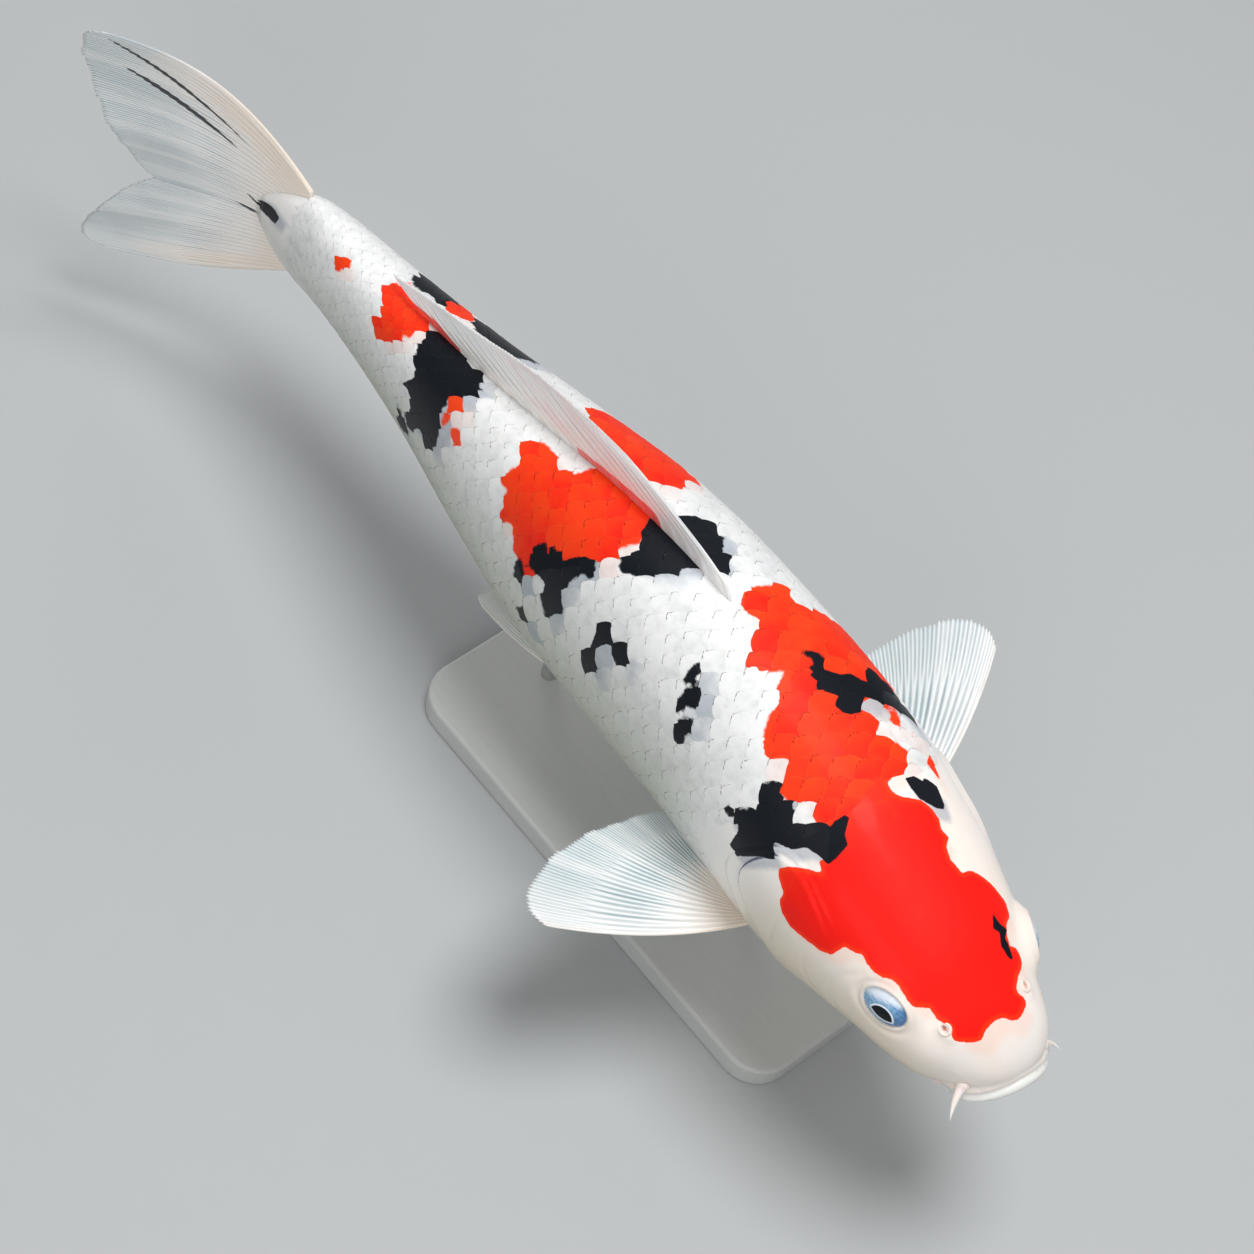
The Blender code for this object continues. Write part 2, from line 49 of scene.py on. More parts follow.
# %% [markdown]
# ## The shape of the body
# A fish has no corners to measure from, so its body is told by a few curves along a bent midline:
# half the width, the ridge of the back and the keel. The same named values made the solids. A
# station runs from 0 at the snout to 1 at the root of the tail, and an angle goes round the body
# from 0 on the ridge over 90 on the right flank to 180 under the belly. A spline through a few
# knots keeps such a curve smooth, and this kind never overshoots them.

# %% Body curves
LENGTH = 0.500
AXIS_HEIGHT = 0.125
HEADING = {
    0: -7, 0.05: -8, 0.09: -9.5, 0.14: -8, 0.25: -4.5, 0.42: -2, 0.6: 1, 0.8: -1, 0.9: 3, 1: 18,
    1.1: 30, 1.3: 44,
}
STRAIGHT_STATION = 0.4
SNOUT_SHIFT = {0: 0.0086, 0.02: 0.0064, 0.05: 0.0016, 0.08: 0}
HALF_WIDTH = {
    0: 0.0262, 0.02: 0.0274, 0.05: 0.0320, 0.1: 0.0400, 0.14: 0.0448, 0.2: 0.0500, 0.27: 0.0512,
    0.35: 0.0505, 0.45: 0.0494, 0.55: 0.0470, 0.66: 0.0395, 0.78: 0.0284, 0.9: 0.0196,
    0.96: 0.0140, 1: 0.0085, 1.03: 0.0045,
}
RIDGE = {
    0: 0.0100, 0.05: 0.0210, 0.1: 0.0325, 0.15: 0.0400, 0.2: 0.0468, 0.28: 0.0575, 0.37: 0.0645,
    0.45: 0.0655, 0.55: 0.0610, 0.66: 0.0490, 0.78: 0.0352, 0.9: 0.0255, 0.96: 0.0265,
    1: 0.0180, 1.03: 0.0050,
}
KEEL = {
    0: -0.0225, 0.05: -0.0280, 0.1: -0.0340, 0.15: -0.0430, 0.2: -0.0500, 0.28: -0.0555,
    0.37: -0.0585, 0.48: -0.0610, 0.58: -0.0590, 0.68: -0.0480, 0.78: -0.0378, 0.9: -0.0322,
    0.96: -0.0318, 1: -0.0250, 1.03: -0.0080,
}
RIDGE_LEAN = {0: 0, 0.25: 0, 0.45: 0.0080, 0.8: 0.0070, 1: 0}
SNOUT_HEIGHT = -0.010
SNOUT_LENGTH = 0.055
SNOUT_POWER = 2.2
SECTION_POWER = 0.92


def smooth(knots):
    """A curve through the knots that never overshoots them (monotone cubic)."""
    at = np.array(list(knots), float)
    value = np.array(list(knots.values()), float)
    step = np.diff(at)
    slope = np.diff(value) / step
    tangent = np.zeros_like(value)
    for i in range(1, len(at) - 1):
        if slope[i - 1] * slope[i] > 0:
            before = 2 * step[i] + step[i - 1]
            after = step[i] + 2 * step[i - 1]
            tangent[i] = (before + after) / (before / slope[i - 1] + after / slope[i])
    tangent[0] = 1.5 * slope[0] - 0.5 * tangent[1]
    tangent[-1] = 1.5 * slope[-1] - 0.5 * tangent[-2]

    def curve(x):
        x = np.clip(np.asarray(x, float), at[0], at[-1])
        i = np.clip(np.searchsorted(at, x, side="right") - 1, 0, len(at) - 2)
        u = (x - at[i]) / step[i]
        rise = value[i] * (1 + 2 * u) * (1 - u) ** 2 + value[i + 1] * u * u * (3 - 2 * u)
        return rise + step[i] * u * (1 - u) * (tangent[i] * (1 - u) - tangent[i + 1] * u)

    return curve


heading, half_width, ridge, keel = (smooth(k) for k in (HEADING, HALF_WIDTH, RIDGE, KEEL))
ridge_lean, snout_shift = smooth(RIDGE_LEAN), smooth(SNOUT_SHIFT)
print("body curves:", len(HALF_WIDTH), "knots of width,", len(RIDGE), "of ridge")


# %% Places on the body
def midline_table():
    """Stations with the midline's x, y and heading, the straight station at x = y = 0."""
    stations = np.linspace(-0.05, 1.35, 1401)
    angle = np.radians(heading(stations))
    middle = (angle[1:] + angle[:-1]) / 2
    step = (stations[1] - stations[0]) * LENGTH
    x = -np.concatenate([[0], np.cumsum(np.cos(middle))]) * step
    y = -np.concatenate([[0], np.cumsum(np.sin(middle))]) * step
    x -= np.interp(STRAIGHT_STATION, stations, x)
    y -= np.interp(STRAIGHT_STATION, stations, y)
    return stations, x, y, angle


MIDLINE = midline_table()


def place(station, side, height):
    """World point of a station, with side to the fish's left and height over the midline."""
    stations, xs, ys, angles = MIDLINE
    x, y, angle = (np.interp(station, stations, row) for row in (xs, ys, angles))
    side = side + snout_shift(station)
    point = x - np.sin(angle) * side, y + np.cos(angle) * side, AXIS_HEIGHT + height
    return np.stack(np.broadcast_arrays(*point), -1)


def profiles(station):
    """Half width, ridge and keel, rounded off at the snout."""
    u = np.clip(np.asarray(station, float) / SNOUT_LENGTH, 0, 1)
    fullness = (1 - (1 - u) ** SNOUT_POWER) ** (1 / SNOUT_POWER)
    top = SNOUT_HEIGHT + (ridge(station) - SNOUT_HEIGHT) * fullness
    bottom = SNOUT_HEIGHT + (keel(station) - SNOUT_HEIGHT) * fullness
    return half_width(station) * fullness, top, bottom


def lean_at(station, height):
    """How far the back leans sideways at this height."""
    _, top, bottom = profiles(station)
    middle = (top + bottom) / 2
    return -ridge_lean(station) * np.clip((height - middle) / (top - middle), 0, None) ** 2


def fuller(wave):
    """A sine or cosine swollen a little, for a section fuller than an ellipse."""
    return np.sign(wave) * np.abs(wave) ** SECTION_POWER


def surface(station, degrees):
    """World point of the solid body at a station and an angle round it."""
    angle = np.radians(np.asarray(degrees, float))
    wide, top, bottom = profiles(station)
    across, upward = fuller(np.sin(angle)), fuller(np.cos(angle))
    height = (top + bottom) / 2 + (top - bottom) / 2 * upward
    return place(station + 0 * angle, -wide * across + lean_at(station, height), height)


def unit(vectors):
    return vectors / np.maximum(np.linalg.norm(vectors, axis=-1, keepdims=True), 1e-12)


def outward(station, degrees):
    """Unit normals of the body, out of its skin."""
    station = np.clip(station, 0.0006, 1.028)
    forward = surface(station - 0.0005, degrees) - surface(station + 0.0005, degrees)
    around = surface(station, degrees + 1.0) - surface(station, degrees - 1.0)
    return unit(np.cross(around, forward))


def eased(low, high, value):
    """0 below low, 1 above high, with a soft ramp between."""
    t = np.clip((np.asarray(value, float) - low) / (high - low), 0, 1)
    return t * t * (3 - 2 * t)


def bell(value, width):
    """1 at 0, falling off smoothly on both sides."""
    return np.exp(-((value / width) ** 2))


print("ridge at the shoulder:", surface(0.37, 0.0).round(3))

# %% [markdown]
# ## Camera, floor and light
# The camera looks down on the fish from its right and ahead, a little rolled, with a long lens so
# that the near fins aren't swollen. The floor is plain and pale. A wide soft lamp above does most
# of the work, as on an overcast day, and two weaker ones keep the flanks from going grey.

# %% Camera
LENS_MM = 97.6
SENSOR_MM = 36
CAMERA_AT = Vector((0.3708, -0.6782, 1.3232))
CAMERA_RIGHT = Vector((0.633, 0.750, 0.193))
CAMERA_UP = Vector((-0.717, 0.473, 0.513))


def set_camera():
    """A camera turned by the directions of its right side and its top."""
    back = CAMERA_RIGHT.cross(CAMERA_UP).normalized()
    right = CAMERA_UP.cross(back).normalized()
    turned = Matrix((right, back.cross(right), back)).transposed().to_4x4()
    lens = bpy.data.cameras.new("camera")
    lens.lens = LENS_MM
    lens.sensor_width = SENSOR_MM
    lens.clip_start = 0.01
    camera = bpy.data.objects.new("camera", lens)
    camera.matrix_world = Matrix.Translation(CAMERA_AT) @ turned
    bpy.context.scene.collection.objects.link(camera)
    bpy.context.scene.camera = camera
    return camera


print("camera at", set_camera().location[:])


# %% Lamps
LAMPS = {
    "key": {"at": (0.10, 0.16, 1.9), "size": 0.9, "watts": 27, "colour": (1, 1, 1)},
    "fill": {"at": (0.9, -1.6, 1.2), "size": 1.4, "watts": 12, "colour": (1, 0.99, 0.97)},
    "rim": {"at": (-1.5, 0.9, 0.9), "size": 0.9, "watts": 4, "colour": (1, 1, 1)},
}
LAMP_AIM = Vector((0, 0, 0.1))
SKY_STRENGTH = 0.36
SKY_COLOUR = (0.97, 0.98, 1.0)


def lamp(name, at, size, watts, colour):
    data = bpy.data.lights.new(name, "AREA")
    data.shape = "DISK"
    data.size = size
    data.energy = watts
    data.color = colour
    made = bpy.data.objects.new(name, data)
    made.location = at
    made.rotation_euler = (LAMP_AIM - Vector(at)).to_track_quat("-Z", "Y").to_euler()
    bpy.context.scene.collection.objects.link(made)


def sky():
    world = bpy.data.worlds.new("studio")
    bpy.context.scene.world = world
    world.use_nodes = True
    background = world.node_tree.nodes["Background"]
    background.inputs["Color"].default_value = (*SKY_COLOUR, 1)
    background.inputs["Strength"].default_value = SKY_STRENGTH


for name, look in LAMPS.items():
    lamp(name, **look)
sky()
bpy.context.scene.view_settings.view_transform = "Standard"
bpy.context.scene.view_settings.look = "None"

# %% [markdown]
# ## Writing a material as arithmetic
# A material is a web of nodes, which is slow to read. One small class wraps a socket, so that
# plus, minus and times add the Math nodes, and one method makes any other node. Numbers that
# don't change over a surface are worked out in Python or set on the shader itself.


# %% Wires and paints
class Wire:
    """One output of a node, with Python's arithmetic."""

    def __init__(self, paint, socket):
        self.paint = paint
        self.socket = socket

    def maths(self, operation, *values):
        return self.paint.node("ShaderNodeMath", {"operation": operation}, dict(enumerate(values)))

    def __add__(self, other):
        return self.maths("ADD", self, other)

    def __sub__(self, other):
        return self.maths("SUBTRACT", self, other)

    def __mul__(self, other):
        return self.maths("MULTIPLY", self, other)

    def __pow__(self, other):
        return self.maths("POWER", self, other)

    def __rsub__(self, other):
        return self.maths("SUBTRACT", other, self)

    def __abs__(self):
        return self.maths("ABSOLUTE", self)

    def or_greater(self, other):
        return self.maths("MAXIMUM", self, other)

    __radd__ = __add__
    __rmul__ = __mul__

    def above(self, low, high):
        """0 below low, 1 above high, with a soft ramp between."""
        settings = {"interpolation_type": "SMOOTHSTEP"}
        return self.paint.node("ShaderNodeMapRange", settings, {0: self, 1: low, 2: high})


class Paint:
    """A material under construction."""

    def __init__(self, name):
        self.material = bpy.data.materials.new(name)
        self.material.use_nodes = True
        self.tree = self.material.node_tree
        self.shader = self.tree.nodes["Principled BSDF"]

    def node(self, kind, settings, values, output=0):
        made = self.tree.nodes.new(kind)
        for name, value in settings.items():
            setattr(made, name, value)
        for key, value in values.items():
            self.plug(made.inputs[key], value)
        return Wire(self, made.outputs[output])

    def plug(self, socket, value):
        if isinstance(value, Wire):
            self.tree.links.new(value.socket, socket)
        elif socket.type == "RGBA":
            socket.default_value = (*value, 1)
        else:
            socket.default_value = value

    def trait(self, name):
        """A number that the mesh carries on each point."""
        return self.node("ShaderNodeAttribute", {"attribute_name": name}, {}, "Fac")

    def where(self):
        return self.node("ShaderNodeTexCoord", {}, {}, "Object")

    def stretched(self, *factors):
        """The object's own coordinates, each times its own factor."""
        values = {0: self.where(), 1: factors}
        return self.node("ShaderNodeVectorMath", {"operation": "MULTIPLY"}, values)

    def noise(self, scale, detail, roughness=0.5, at=None):
        values = {"Vector": at or self.where(), "Scale": scale, "Detail": detail, "Roughness": roughness}
        return self.node("ShaderNodeTexNoise", {}, values, "Fac")

    def cell_edges(self, scale):
        """Distance to the nearest border in a pattern of uneven cells."""
        values = {"Vector": self.where(), "Scale": scale}
        return self.node("ShaderNodeTexVoronoi", {"feature": "DISTANCE_TO_EDGE"}, values, "Distance")

    def vector(self, x, y, z):
        return self.node("ShaderNodeCombineXYZ", {}, {0: x, 1: y, 2: z})

    def blend(self, share, first, second):
        """The first colour where share is 0 and the second where it is 1."""
        return self.node("ShaderNodeMix", {"data_type": "RGBA"}, {0: share, 6: first, 7: second}, 2)

    def bump(self, height, strength, distance):
        values = {"Height": height, "Strength": strength, "Distance": distance}
        return self.node("ShaderNodeBump", {}, values)

    def finish(self, **values):
        """Plugs the shader's sockets, named in words joined by underscores."""
        sockets = {s.name.lower().replace(" ", "_"): s for s in self.shader.inputs}
        for name, value in values.items():
            self.plug(sockets[name], value)
        return self.material


print("shader helpers ready")

# %% [markdown]
# ## The floor
# A plain floor under the stand is one large square. It isn't part of the object, so it isn't attached to
# the body.

# %% Floor
FLOOR_HALF = 4.0
FLOOR_DROP = 0.0005
FLOOR_COLOUR = (0.43, 0.445, 0.45)


def floor():
    corners = [(-1, -1), (1, -1), (1, 1), (-1, 1)]
    points = [(x * FLOOR_HALF, y * FLOOR_HALF, -FLOOR_DROP) for x, y in corners]
    data = bpy.data.meshes.new("floor")
    data.from_pydata(points, [], [(0, 1, 2, 3)])
    made = bpy.data.objects.new("floor", data)
    bpy.context.scene.collection.objects.link(made)
    paint = Paint("floor_paint")
    speck = paint.noise(60, 3)
    data.materials.append(paint.finish(base_color=FLOOR_COLOUR, roughness=0.62 + 0.1 * speck))
    return made


print("floor:", floor().name)

# %% [markdown]
# ## The markings
# A koi's red and black lie in the skin, and scales over it carry the same colours, so both need
# one map. Each patch is a loop of corners on the unrolled body, given by station and angle.
# The distance to a loop's edge, above 0 inside, is smoother than painted points: the material
# cuts it with a little noise, and the edge stays crisp however coarse the mesh is.

# %% Patches
CROWN_AND_SHOULDER_RED = [
    (0.082, -37), (0.084, -31), (0.092, -31), (0.100, -34), (0.106, -41), (0.117, -42), (0.131, -35),
    (0.141, -28), (0.147, -22), (0.147, -16), (0.160, -13), (0.170, -14), (0.176, -18), (0.185, -16),
    (0.191, -18), (0.201, -17), (0.210, -14), (0.220, -5), (0.226, -3), (0.234, -3), (0.235, -6),
    (0.237, -12), (0.234, -18), (0.245, -21), (0.254, -18), (0.260, -15), (0.266, -8), (0.272, -15),
    (0.276, -18), (0.288, -18), (0.295, -14), (0.300, -40), (0.310, -58), (0.340, -68), (0.360, -66),
    (0.378, -56), (0.379, -39), (0.396, -29), (0.412, -30), (0.421, -24), (0.426, -14), (0.429, -7),
    (0.419, 0), (0.406, 0), (0.390, -4), (0.387, 2), (0.376, 9), (0.368, 14), (0.359, 15), (0.350, 5),
    (0.344, 12), (0.335, 16), (0.326, 26), (0.316, 34), (0.301, 39), (0.291, 30), (0.285, 36),
    (0.278, 38), (0.269, 37), (0.250, 30), (0.226, 30), (0.209, 38), (0.214, 42), (0.204, 44),
    (0.216, 50), (0.226, 56), (0.231, 61), (0.228, 64), (0.214, 68), (0.213, 73), (0.204, 77),
    (0.192, 78), (0.176, 76), (0.160, 74), (0.150, 70), (0.147, 59), (0.139, 57), (0.133, 53.5),
    (0.126, 55), (0.117, 55), (0.109, 52.5), (0.1045, 48.5), (0.101, 47), (0.096, 46), (0.088, 46),
    (0.082, 46.5), (0.0765, 45.5), (0.0735, 42), (0.070, 38.8), (0.0655, 39.2), (0.060, 39.5),
    (0.0565, 37.5), (0.0543, 36), (0.050, 36), (0.047, 38.5), (0.0447, 41), (0.0415, 41.2),
    (0.039, 39.5), (0.0358, 36), (0.0325, 30), (0.0322, 25), (0.0345, 19), (0.0362, 16), (0.0378, 10),
    (0.0385, 4), (0.038, 0), (0.0365, -2), (0.033, -5), (0.0318, -10), (0.033, -16), (0.0351, -19.5),
    (0.0383, -25), (0.0415, -27), (0.0447, -26.8), (0.0475, -24), (0.0495, -22.5), (0.053, -23),
    (0.0559, -25), (0.0607, -29), (0.0635, -34), (0.0655, -36.4), (0.070, -39.5), (0.0751, -40),
]
MIDDLE_RED = [
    (0.655, 17), (0.653, 12), (0.635, 9), (0.618, 10), (0.606, 18), (0.594, 12), (0.591, 4),
    (0.586, -2), (0.522, -2), (0.510, 14), (0.516, 20), (0.519, 30), (0.519, 44), (0.532, 36),
    (0.540, 42), (0.547, 52), (0.562, 59), (0.578, 76), (0.599, 74), (0.606, 67), (0.612, 62),
    (0.627, 70), (0.631, 63), (0.628, 46), (0.647, 46), (0.641, 28),
]
MIDDLE_RED_LEFT = [
    (0.659, -30), (0.637, -22), (0.591, -12), (0.553, -12), (0.543, -22), (0.540, -43), (0.562, -54),
    (0.590, -66), (0.627, -62), (0.650, -48),
]
REAR_RED = [
    (0.865, -5), (0.862, 13), (0.853, 26), (0.843, 30), (0.847, 46), (0.842, 52), (0.830, 58),
    (0.821, 54), (0.809, 40), (0.812, 30), (0.805, 26), (0.806, 18), (0.803, 6), (0.812, 0),
    (0.822, -8), (0.845, -10),
]
REAR_RED_LEFT = [
    (0.824, -28), (0.822, -44), (0.814, -58), (0.802, -55), (0.794, -28), (0.805, -24), (0.818, -22),
]
RED_PATCHES = [
    CROWN_AND_SHOULDER_RED, MIDDLE_RED, MIDDLE_RED_LEFT, REAR_RED, REAR_RED_LEFT,
    [(0.859, -10), (0.855, -22), (0.846, -13)],
    [(0.292, -21), (0.300, -27), (0.296, -33), (0.286, -29)],
    [(0.287, -35), (0.270, -28), (0.275, -23), (0.282, -27)],
    [(0.269, -38), (0.262, -40), (0.253, -30), (0.262, -29)],
    [(0.254, -40), (0.244, -38), (0.225, -35), (0.219, -33), (0.235, -31)],
    [(0.902, 30), (0.906, 22), (0.914, 24), (0.921, 36), (0.918, 47), (0.909, 50), (0.904, 42)],
]
ORANGE_PATCHES = [
    [(0.734, 36), (0.722, 24), (0.709, 38), (0.718, 37), (0.724, 58), (0.733, 42)],
    [(0.711, 53), (0.706, 49), (0.696, 60)],
]
SHOULDER_BLACK = [
    (0.357, -6), (0.357, -10), (0.351, -14), (0.343, -15), (0.337, -12), (0.329, -17), (0.328, -22),
    (0.318, -27), (0.312, -32), (0.332, -37), (0.325, -44), (0.309, -46), (0.291, -46), (0.268, -47),
    (0.273, -40), (0.292, -34), (0.292, -24), (0.301, -18), (0.297, -13), (0.300, -7), (0.309, -6),
    (0.316, -3), (0.319, 0), (0.328, -3), (0.338, 0), (0.341, -4), (0.346, -9), (0.352, -9),
]
RIGHT_SHOULDER_BLACK = [
    (0.287, 50), (0.282, 42), (0.278, 40), (0.269, 36), (0.266, 42), (0.254, 44), (0.250, 40),
    (0.244, 36), (0.238, 31), (0.229, 29), (0.232, 21), (0.226, 19), (0.217, 25), (0.209, 26),
    (0.206, 34), (0.206, 39), (0.217, 41), (0.228, 44), (0.235, 51), (0.251, 57), (0.238, 60),
    (0.248, 66), (0.266, 79), (0.278, 80), (0.279, 70), (0.287, 66), (0.282, 60), (0.281, 54),
]
REAR_BLACK = [
    (0.808, 4), (0.792, 0), (0.766, 0), (0.746, 1), (0.733, 4), (0.728, 8), (0.713, 10), (0.721, 18),
    (0.722, 24), (0.725, 30), (0.734, 36), (0.733, 49), (0.722, 59), (0.725, 68), (0.721, 80),
    (0.739, 86), (0.747, 85), (0.764, 92), (0.768, 86), (0.771, 68), (0.792, 74), (0.778, 52),
    (0.784, 41), (0.787, 30), (0.797, 20), (0.794, 8),
]
BLACK_PATCHES = [
    SHOULDER_BLACK, RIGHT_SHOULDER_BLACK, REAR_BLACK,
    [(0.238, -13), (0.223, -21), (0.226, -23), (0.216, -28), (0.201, -26), (0.197, -24), (0.201, -19),
     (0.213, -13), (0.225, -12)],
    [(0.304, 70), (0.301, 61), (0.287, 66), (0.290, 72)],
    [(0.996, 62), (1.000, 80), (1.016, 84), (1.033, 74), (1.040, 50), (1.028, 42), (1.012, 52)],
    [(0.527, -2), (0.512, -1), (0.497, -1), (0.464, -1), (0.472, 12), (0.487, 22), (0.502, 29),
     (0.513, 21), (0.507, 14), (0.521, 11)],
    [(0.516, -10), (0.509, -19), (0.496, -22), (0.488, -18), (0.478, -22), (0.463, -14), (0.457, -16),
     (0.449, -4), (0.475, -6), (0.510, -8)],
    [(0.577, 72), (0.585, 60), (0.572, 48), (0.565, 56), (0.552, 50), (0.540, 40), (0.531, 36),
     (0.522, 46), (0.532, 46), (0.537, 60), (0.531, 74), (0.537, 86), (0.552, 79), (0.557, 71)],
    [(0.591, 82), (0.593, 70), (0.582, 72), (0.575, 78), (0.572, 87), (0.585, 86)],
    [(0.574, 98), (0.565, 92), (0.549, 102), (0.560, 103)],
    [(0.491, 64), (0.482, 57), (0.471, 58), (0.469, 65), (0.476, 72), (0.466, 85), (0.485, 88),
     (0.487, 78)],
    [(0.465, 64), (0.453, 53), (0.449, 56), (0.447, 63), (0.447, 70), (0.457, 64)],
    [(0.395, 45), (0.402, 40), (0.401, 33), (0.396, 30), (0.390, 33), (0.389, 41)],
    [(0.384, 62), (0.391, 54), (0.391, 45), (0.384, 36), (0.375, 41), (0.368, 48), (0.379, 52)],
    [(0.375, 69), (0.381, 63), (0.379, 58), (0.367, 51), (0.362, 57), (0.369, 62), (0.363, 69)],
    [(0.784, 90), (0.774, 90), (0.761, 106), (0.780, 108)],
    [(0.862, -34), (0.861, -57), (0.840, -57), (0.818, -58), (0.819, -42), (0.819, -22), (0.834, -20),
     (0.852, -18)],
    [(0.794, -29), (0.793, -56), (0.778, -57), (0.725, -56), (0.727, -36), (0.737, -25), (0.758, -26),
     (0.777, -27)],
    [(0.111, -25), (0.100, -21), (0.096, -25), (0.086, -23), (0.0745, -27), (0.074, -30.5),
     (0.086, -30), (0.091, -28.5), (0.096, -33), (0.102, -28)],
]
VEIL_SHIFT = 0.012
print("patches:", len(RED_PATCHES), "red,", len(ORANGE_PATCHES), "orange,", len(BLACK_PATCHES), "black")


# %% Distances to the patches
def girth(station):
    """Millimetres round the body for each degree, from the perimeter of an ellipse."""
    wide, top, bottom = profiles(np.maximum(station, 0.02))
    a, b = wide / MM, (top - bottom) / 2 / MM
    return math.pi * (3 * (a + b) - np.sqrt((3 * a + b) * (a + 3 * b))) / 360


def unrolled(station, degrees):
    """A place on the body as millimetres on a flat sheet."""
    return station * LENGTH / MM, degrees * girth(station)


def squared_reach(x, y, ax, ay, bx, by):
    """Squared distances of points from the straight piece between two ends."""
    share = ((x - ax) * (bx - ax) + (y - ay) * (by - ay)) / ((bx - ax) ** 2 + (by - ay) ** 2)
    share = np.clip(share, 0, 1)
    return (x - ax - share * (bx - ax)) ** 2 + (y - ay - share * (by - ay)) ** 2


def depth_in_loop(loop, x, y):
    """Distance in from a loop's edge, below 0 outside it."""
    corners = np.array(loop, float)
    cx, cy = unrolled(corners[:, 0], corners[:, 1])
    nearest = np.full(np.shape(x), np.inf)
    inside = np.zeros(np.shape(x), bool)
    for ax, ay, bx, by in zip(cx, cy, np.roll(cx, -1), np.roll(cy, -1)):
        nearest = np.minimum(nearest, squared_reach(x, y, ax, ay, bx, by))
        if ay != by:
            crossing = ((ay > y) != (by > y)) & (x < ax + (y - ay) * (bx - ax) / (by - ay))
            inside ^= crossing
    return np.where(inside, 1, -1) * np.sqrt(nearest)


def depth_in(loops, station, degrees, shift=0.0):
    """Distance in from the nearest edge of any loop, all moved ahead by a shift."""
    x, y = unrolled(np.asarray(station, float), np.asarray(degrees, float))
    moved = [np.array(loop, float) - (shift, 0) for loop in loops]
    return np.max([depth_in_loop(loop, x, y) for loop in moved], axis=0)


MAP_STATIONS = np.linspace(0, 1.04, 521)
MAP_DEGREES = np.linspace(-180, 180, 301)
MAP_REACH = 40


def chart(loops, shift=0.0):
    """The distances on a regular chart of the body, to look up quickly."""
    grid = np.meshgrid(MAP_STATIONS, MAP_DEGREES, indexing="ij")
    return np.clip(depth_in(loops, *grid, shift), -MAP_REACH, MAP_REACH)


CHARTS = {
    "red": chart(RED_PATCHES),
    "orange": chart(ORANGE_PATCHES),
    "black": chart(BLACK_PATCHES),
    "red_veil": chart(RED_PATCHES + ORANGE_PATCHES, VEIL_SHIFT),
    "black_veil": chart(BLACK_PATCHES, VEIL_SHIFT),
}


def chart_cell(value, lines):
    """The number of the chart's line before a value, and the share of the way to the next."""
    steps = len(lines) - 1
    past = (np.asarray(value, float) - lines[0]) / (lines[-1] - lines[0]) * steps
    past = np.clip(past, 0, steps - 0.001)
    before = past.astype(int)
    return before, past - before


def marking(name, station, degrees):
    """A chart's value in millimetres at any places."""
    table = CHARTS[name]
    (i, s), (j, a) = chart_cell(station, MAP_STATIONS), chart_cell(degrees, MAP_DEGREES)
    near = table[i, j] * (1 - a) + table[i, j + 1] * a
    far = table[i + 1, j] * (1 - a) + table[i + 1, j + 1] * a
    return near * (1 - s) + far * s


print("charts:", {name: float(table.max().round(1)) for name, table in CHARTS.items()})

# %% [markdown]
# ## Meshes from grids
# Nearly every living form here is a sheet of points in rows and columns, rolled up or folded
# over. One helper turns such a sheet into a piece, with values on its points for the material
# and a map that unwraps it along its own rows and columns.


# %% Sheet helpers
def new_piece(name, points, faces, traits, corner_uv, material, replaces=()):
    """A mesh from arrays, with its traits, its map and its finish, riding on the model."""
    data = bpy.data.meshes.new(name)
    data.vertices.add(len(points))
    data.vertices.foreach_set("co", np.ascontiguousarray(points, dtype=np.float32).ravel())
    data.loops.add(faces.size)
    data.loops.foreach_set("vertex_index", np.ascontiguousarray(faces, dtype=np.int32).ravel())
    data.polygons.add(len(faces))
    data.polygons.foreach_set("loop_start", np.arange(len(faces), dtype=np.int32) * faces.shape[1])
    data.update(calc_edges=True)
    for key, values in traits.items():
        layer = data.attributes.new(key, "FLOAT", "POINT")
        layer.data.foreach_set("value", np.ascontiguousarray(values, dtype=np.float32).ravel())
    layer = data.uv_layers.new(name="OFBake")
    layer.data.foreach_set("uv", np.ascontiguousarray(corner_uv, dtype=np.float32).ravel())
    data.shade_smooth()
    data.validate()
    made = bpy.data.objects.new(name, data)
    bpy.context.scene.collection.objects.link(made)
    data.materials.append(material)
    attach(made, "root")
    if replaces:
        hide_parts(*replaces)
    return made


def crisp(data, is_crisp):
    """Marks edges sharp, by a test on the pairs of points that they join."""
    ends = np.zeros(2 * len(data.edges), np.int32)
    data.edges.foreach_get("vertices", ends)
    layer = data.attributes.new("sharp_edge", "BOOLEAN", "EDGE")
    layer.data.foreach_set("value", is_crisp(ends.reshape(-1, 2)))


def quads(rows, columns, rolled=False):
    """The faces of a grid, closed round its columns where it is rolled up."""
    spans = columns if rolled else columns - 1
    i, j = np.meshgrid(np.arange(rows - 1) * columns, np.arange(spans), indexing="ij")
    k = (j + 1) % columns
    return np.stack([i + j, i + k, i + columns + k, i + columns + j], -1).reshape(-1, 4)


def folded_faces(rows, columns):
    """The faces of an upper and a lower sheet and of the four rims that join them."""
    under = rows * columns
    top = quads(rows, columns)
    i, j = np.arange(rows - 1) * columns, np.arange(columns - 1)
    left, right, last = i, i + columns - 1, under - columns + j
    rims = [(left, left + columns), (right + columns, right), (j + 1, j), (last, last + 1)]
    rims = [np.stack([a, b, b + under, a + under], -1) for a, b in rims]
    return np.concatenate([top, top[:, ::-1] + under, *rims])


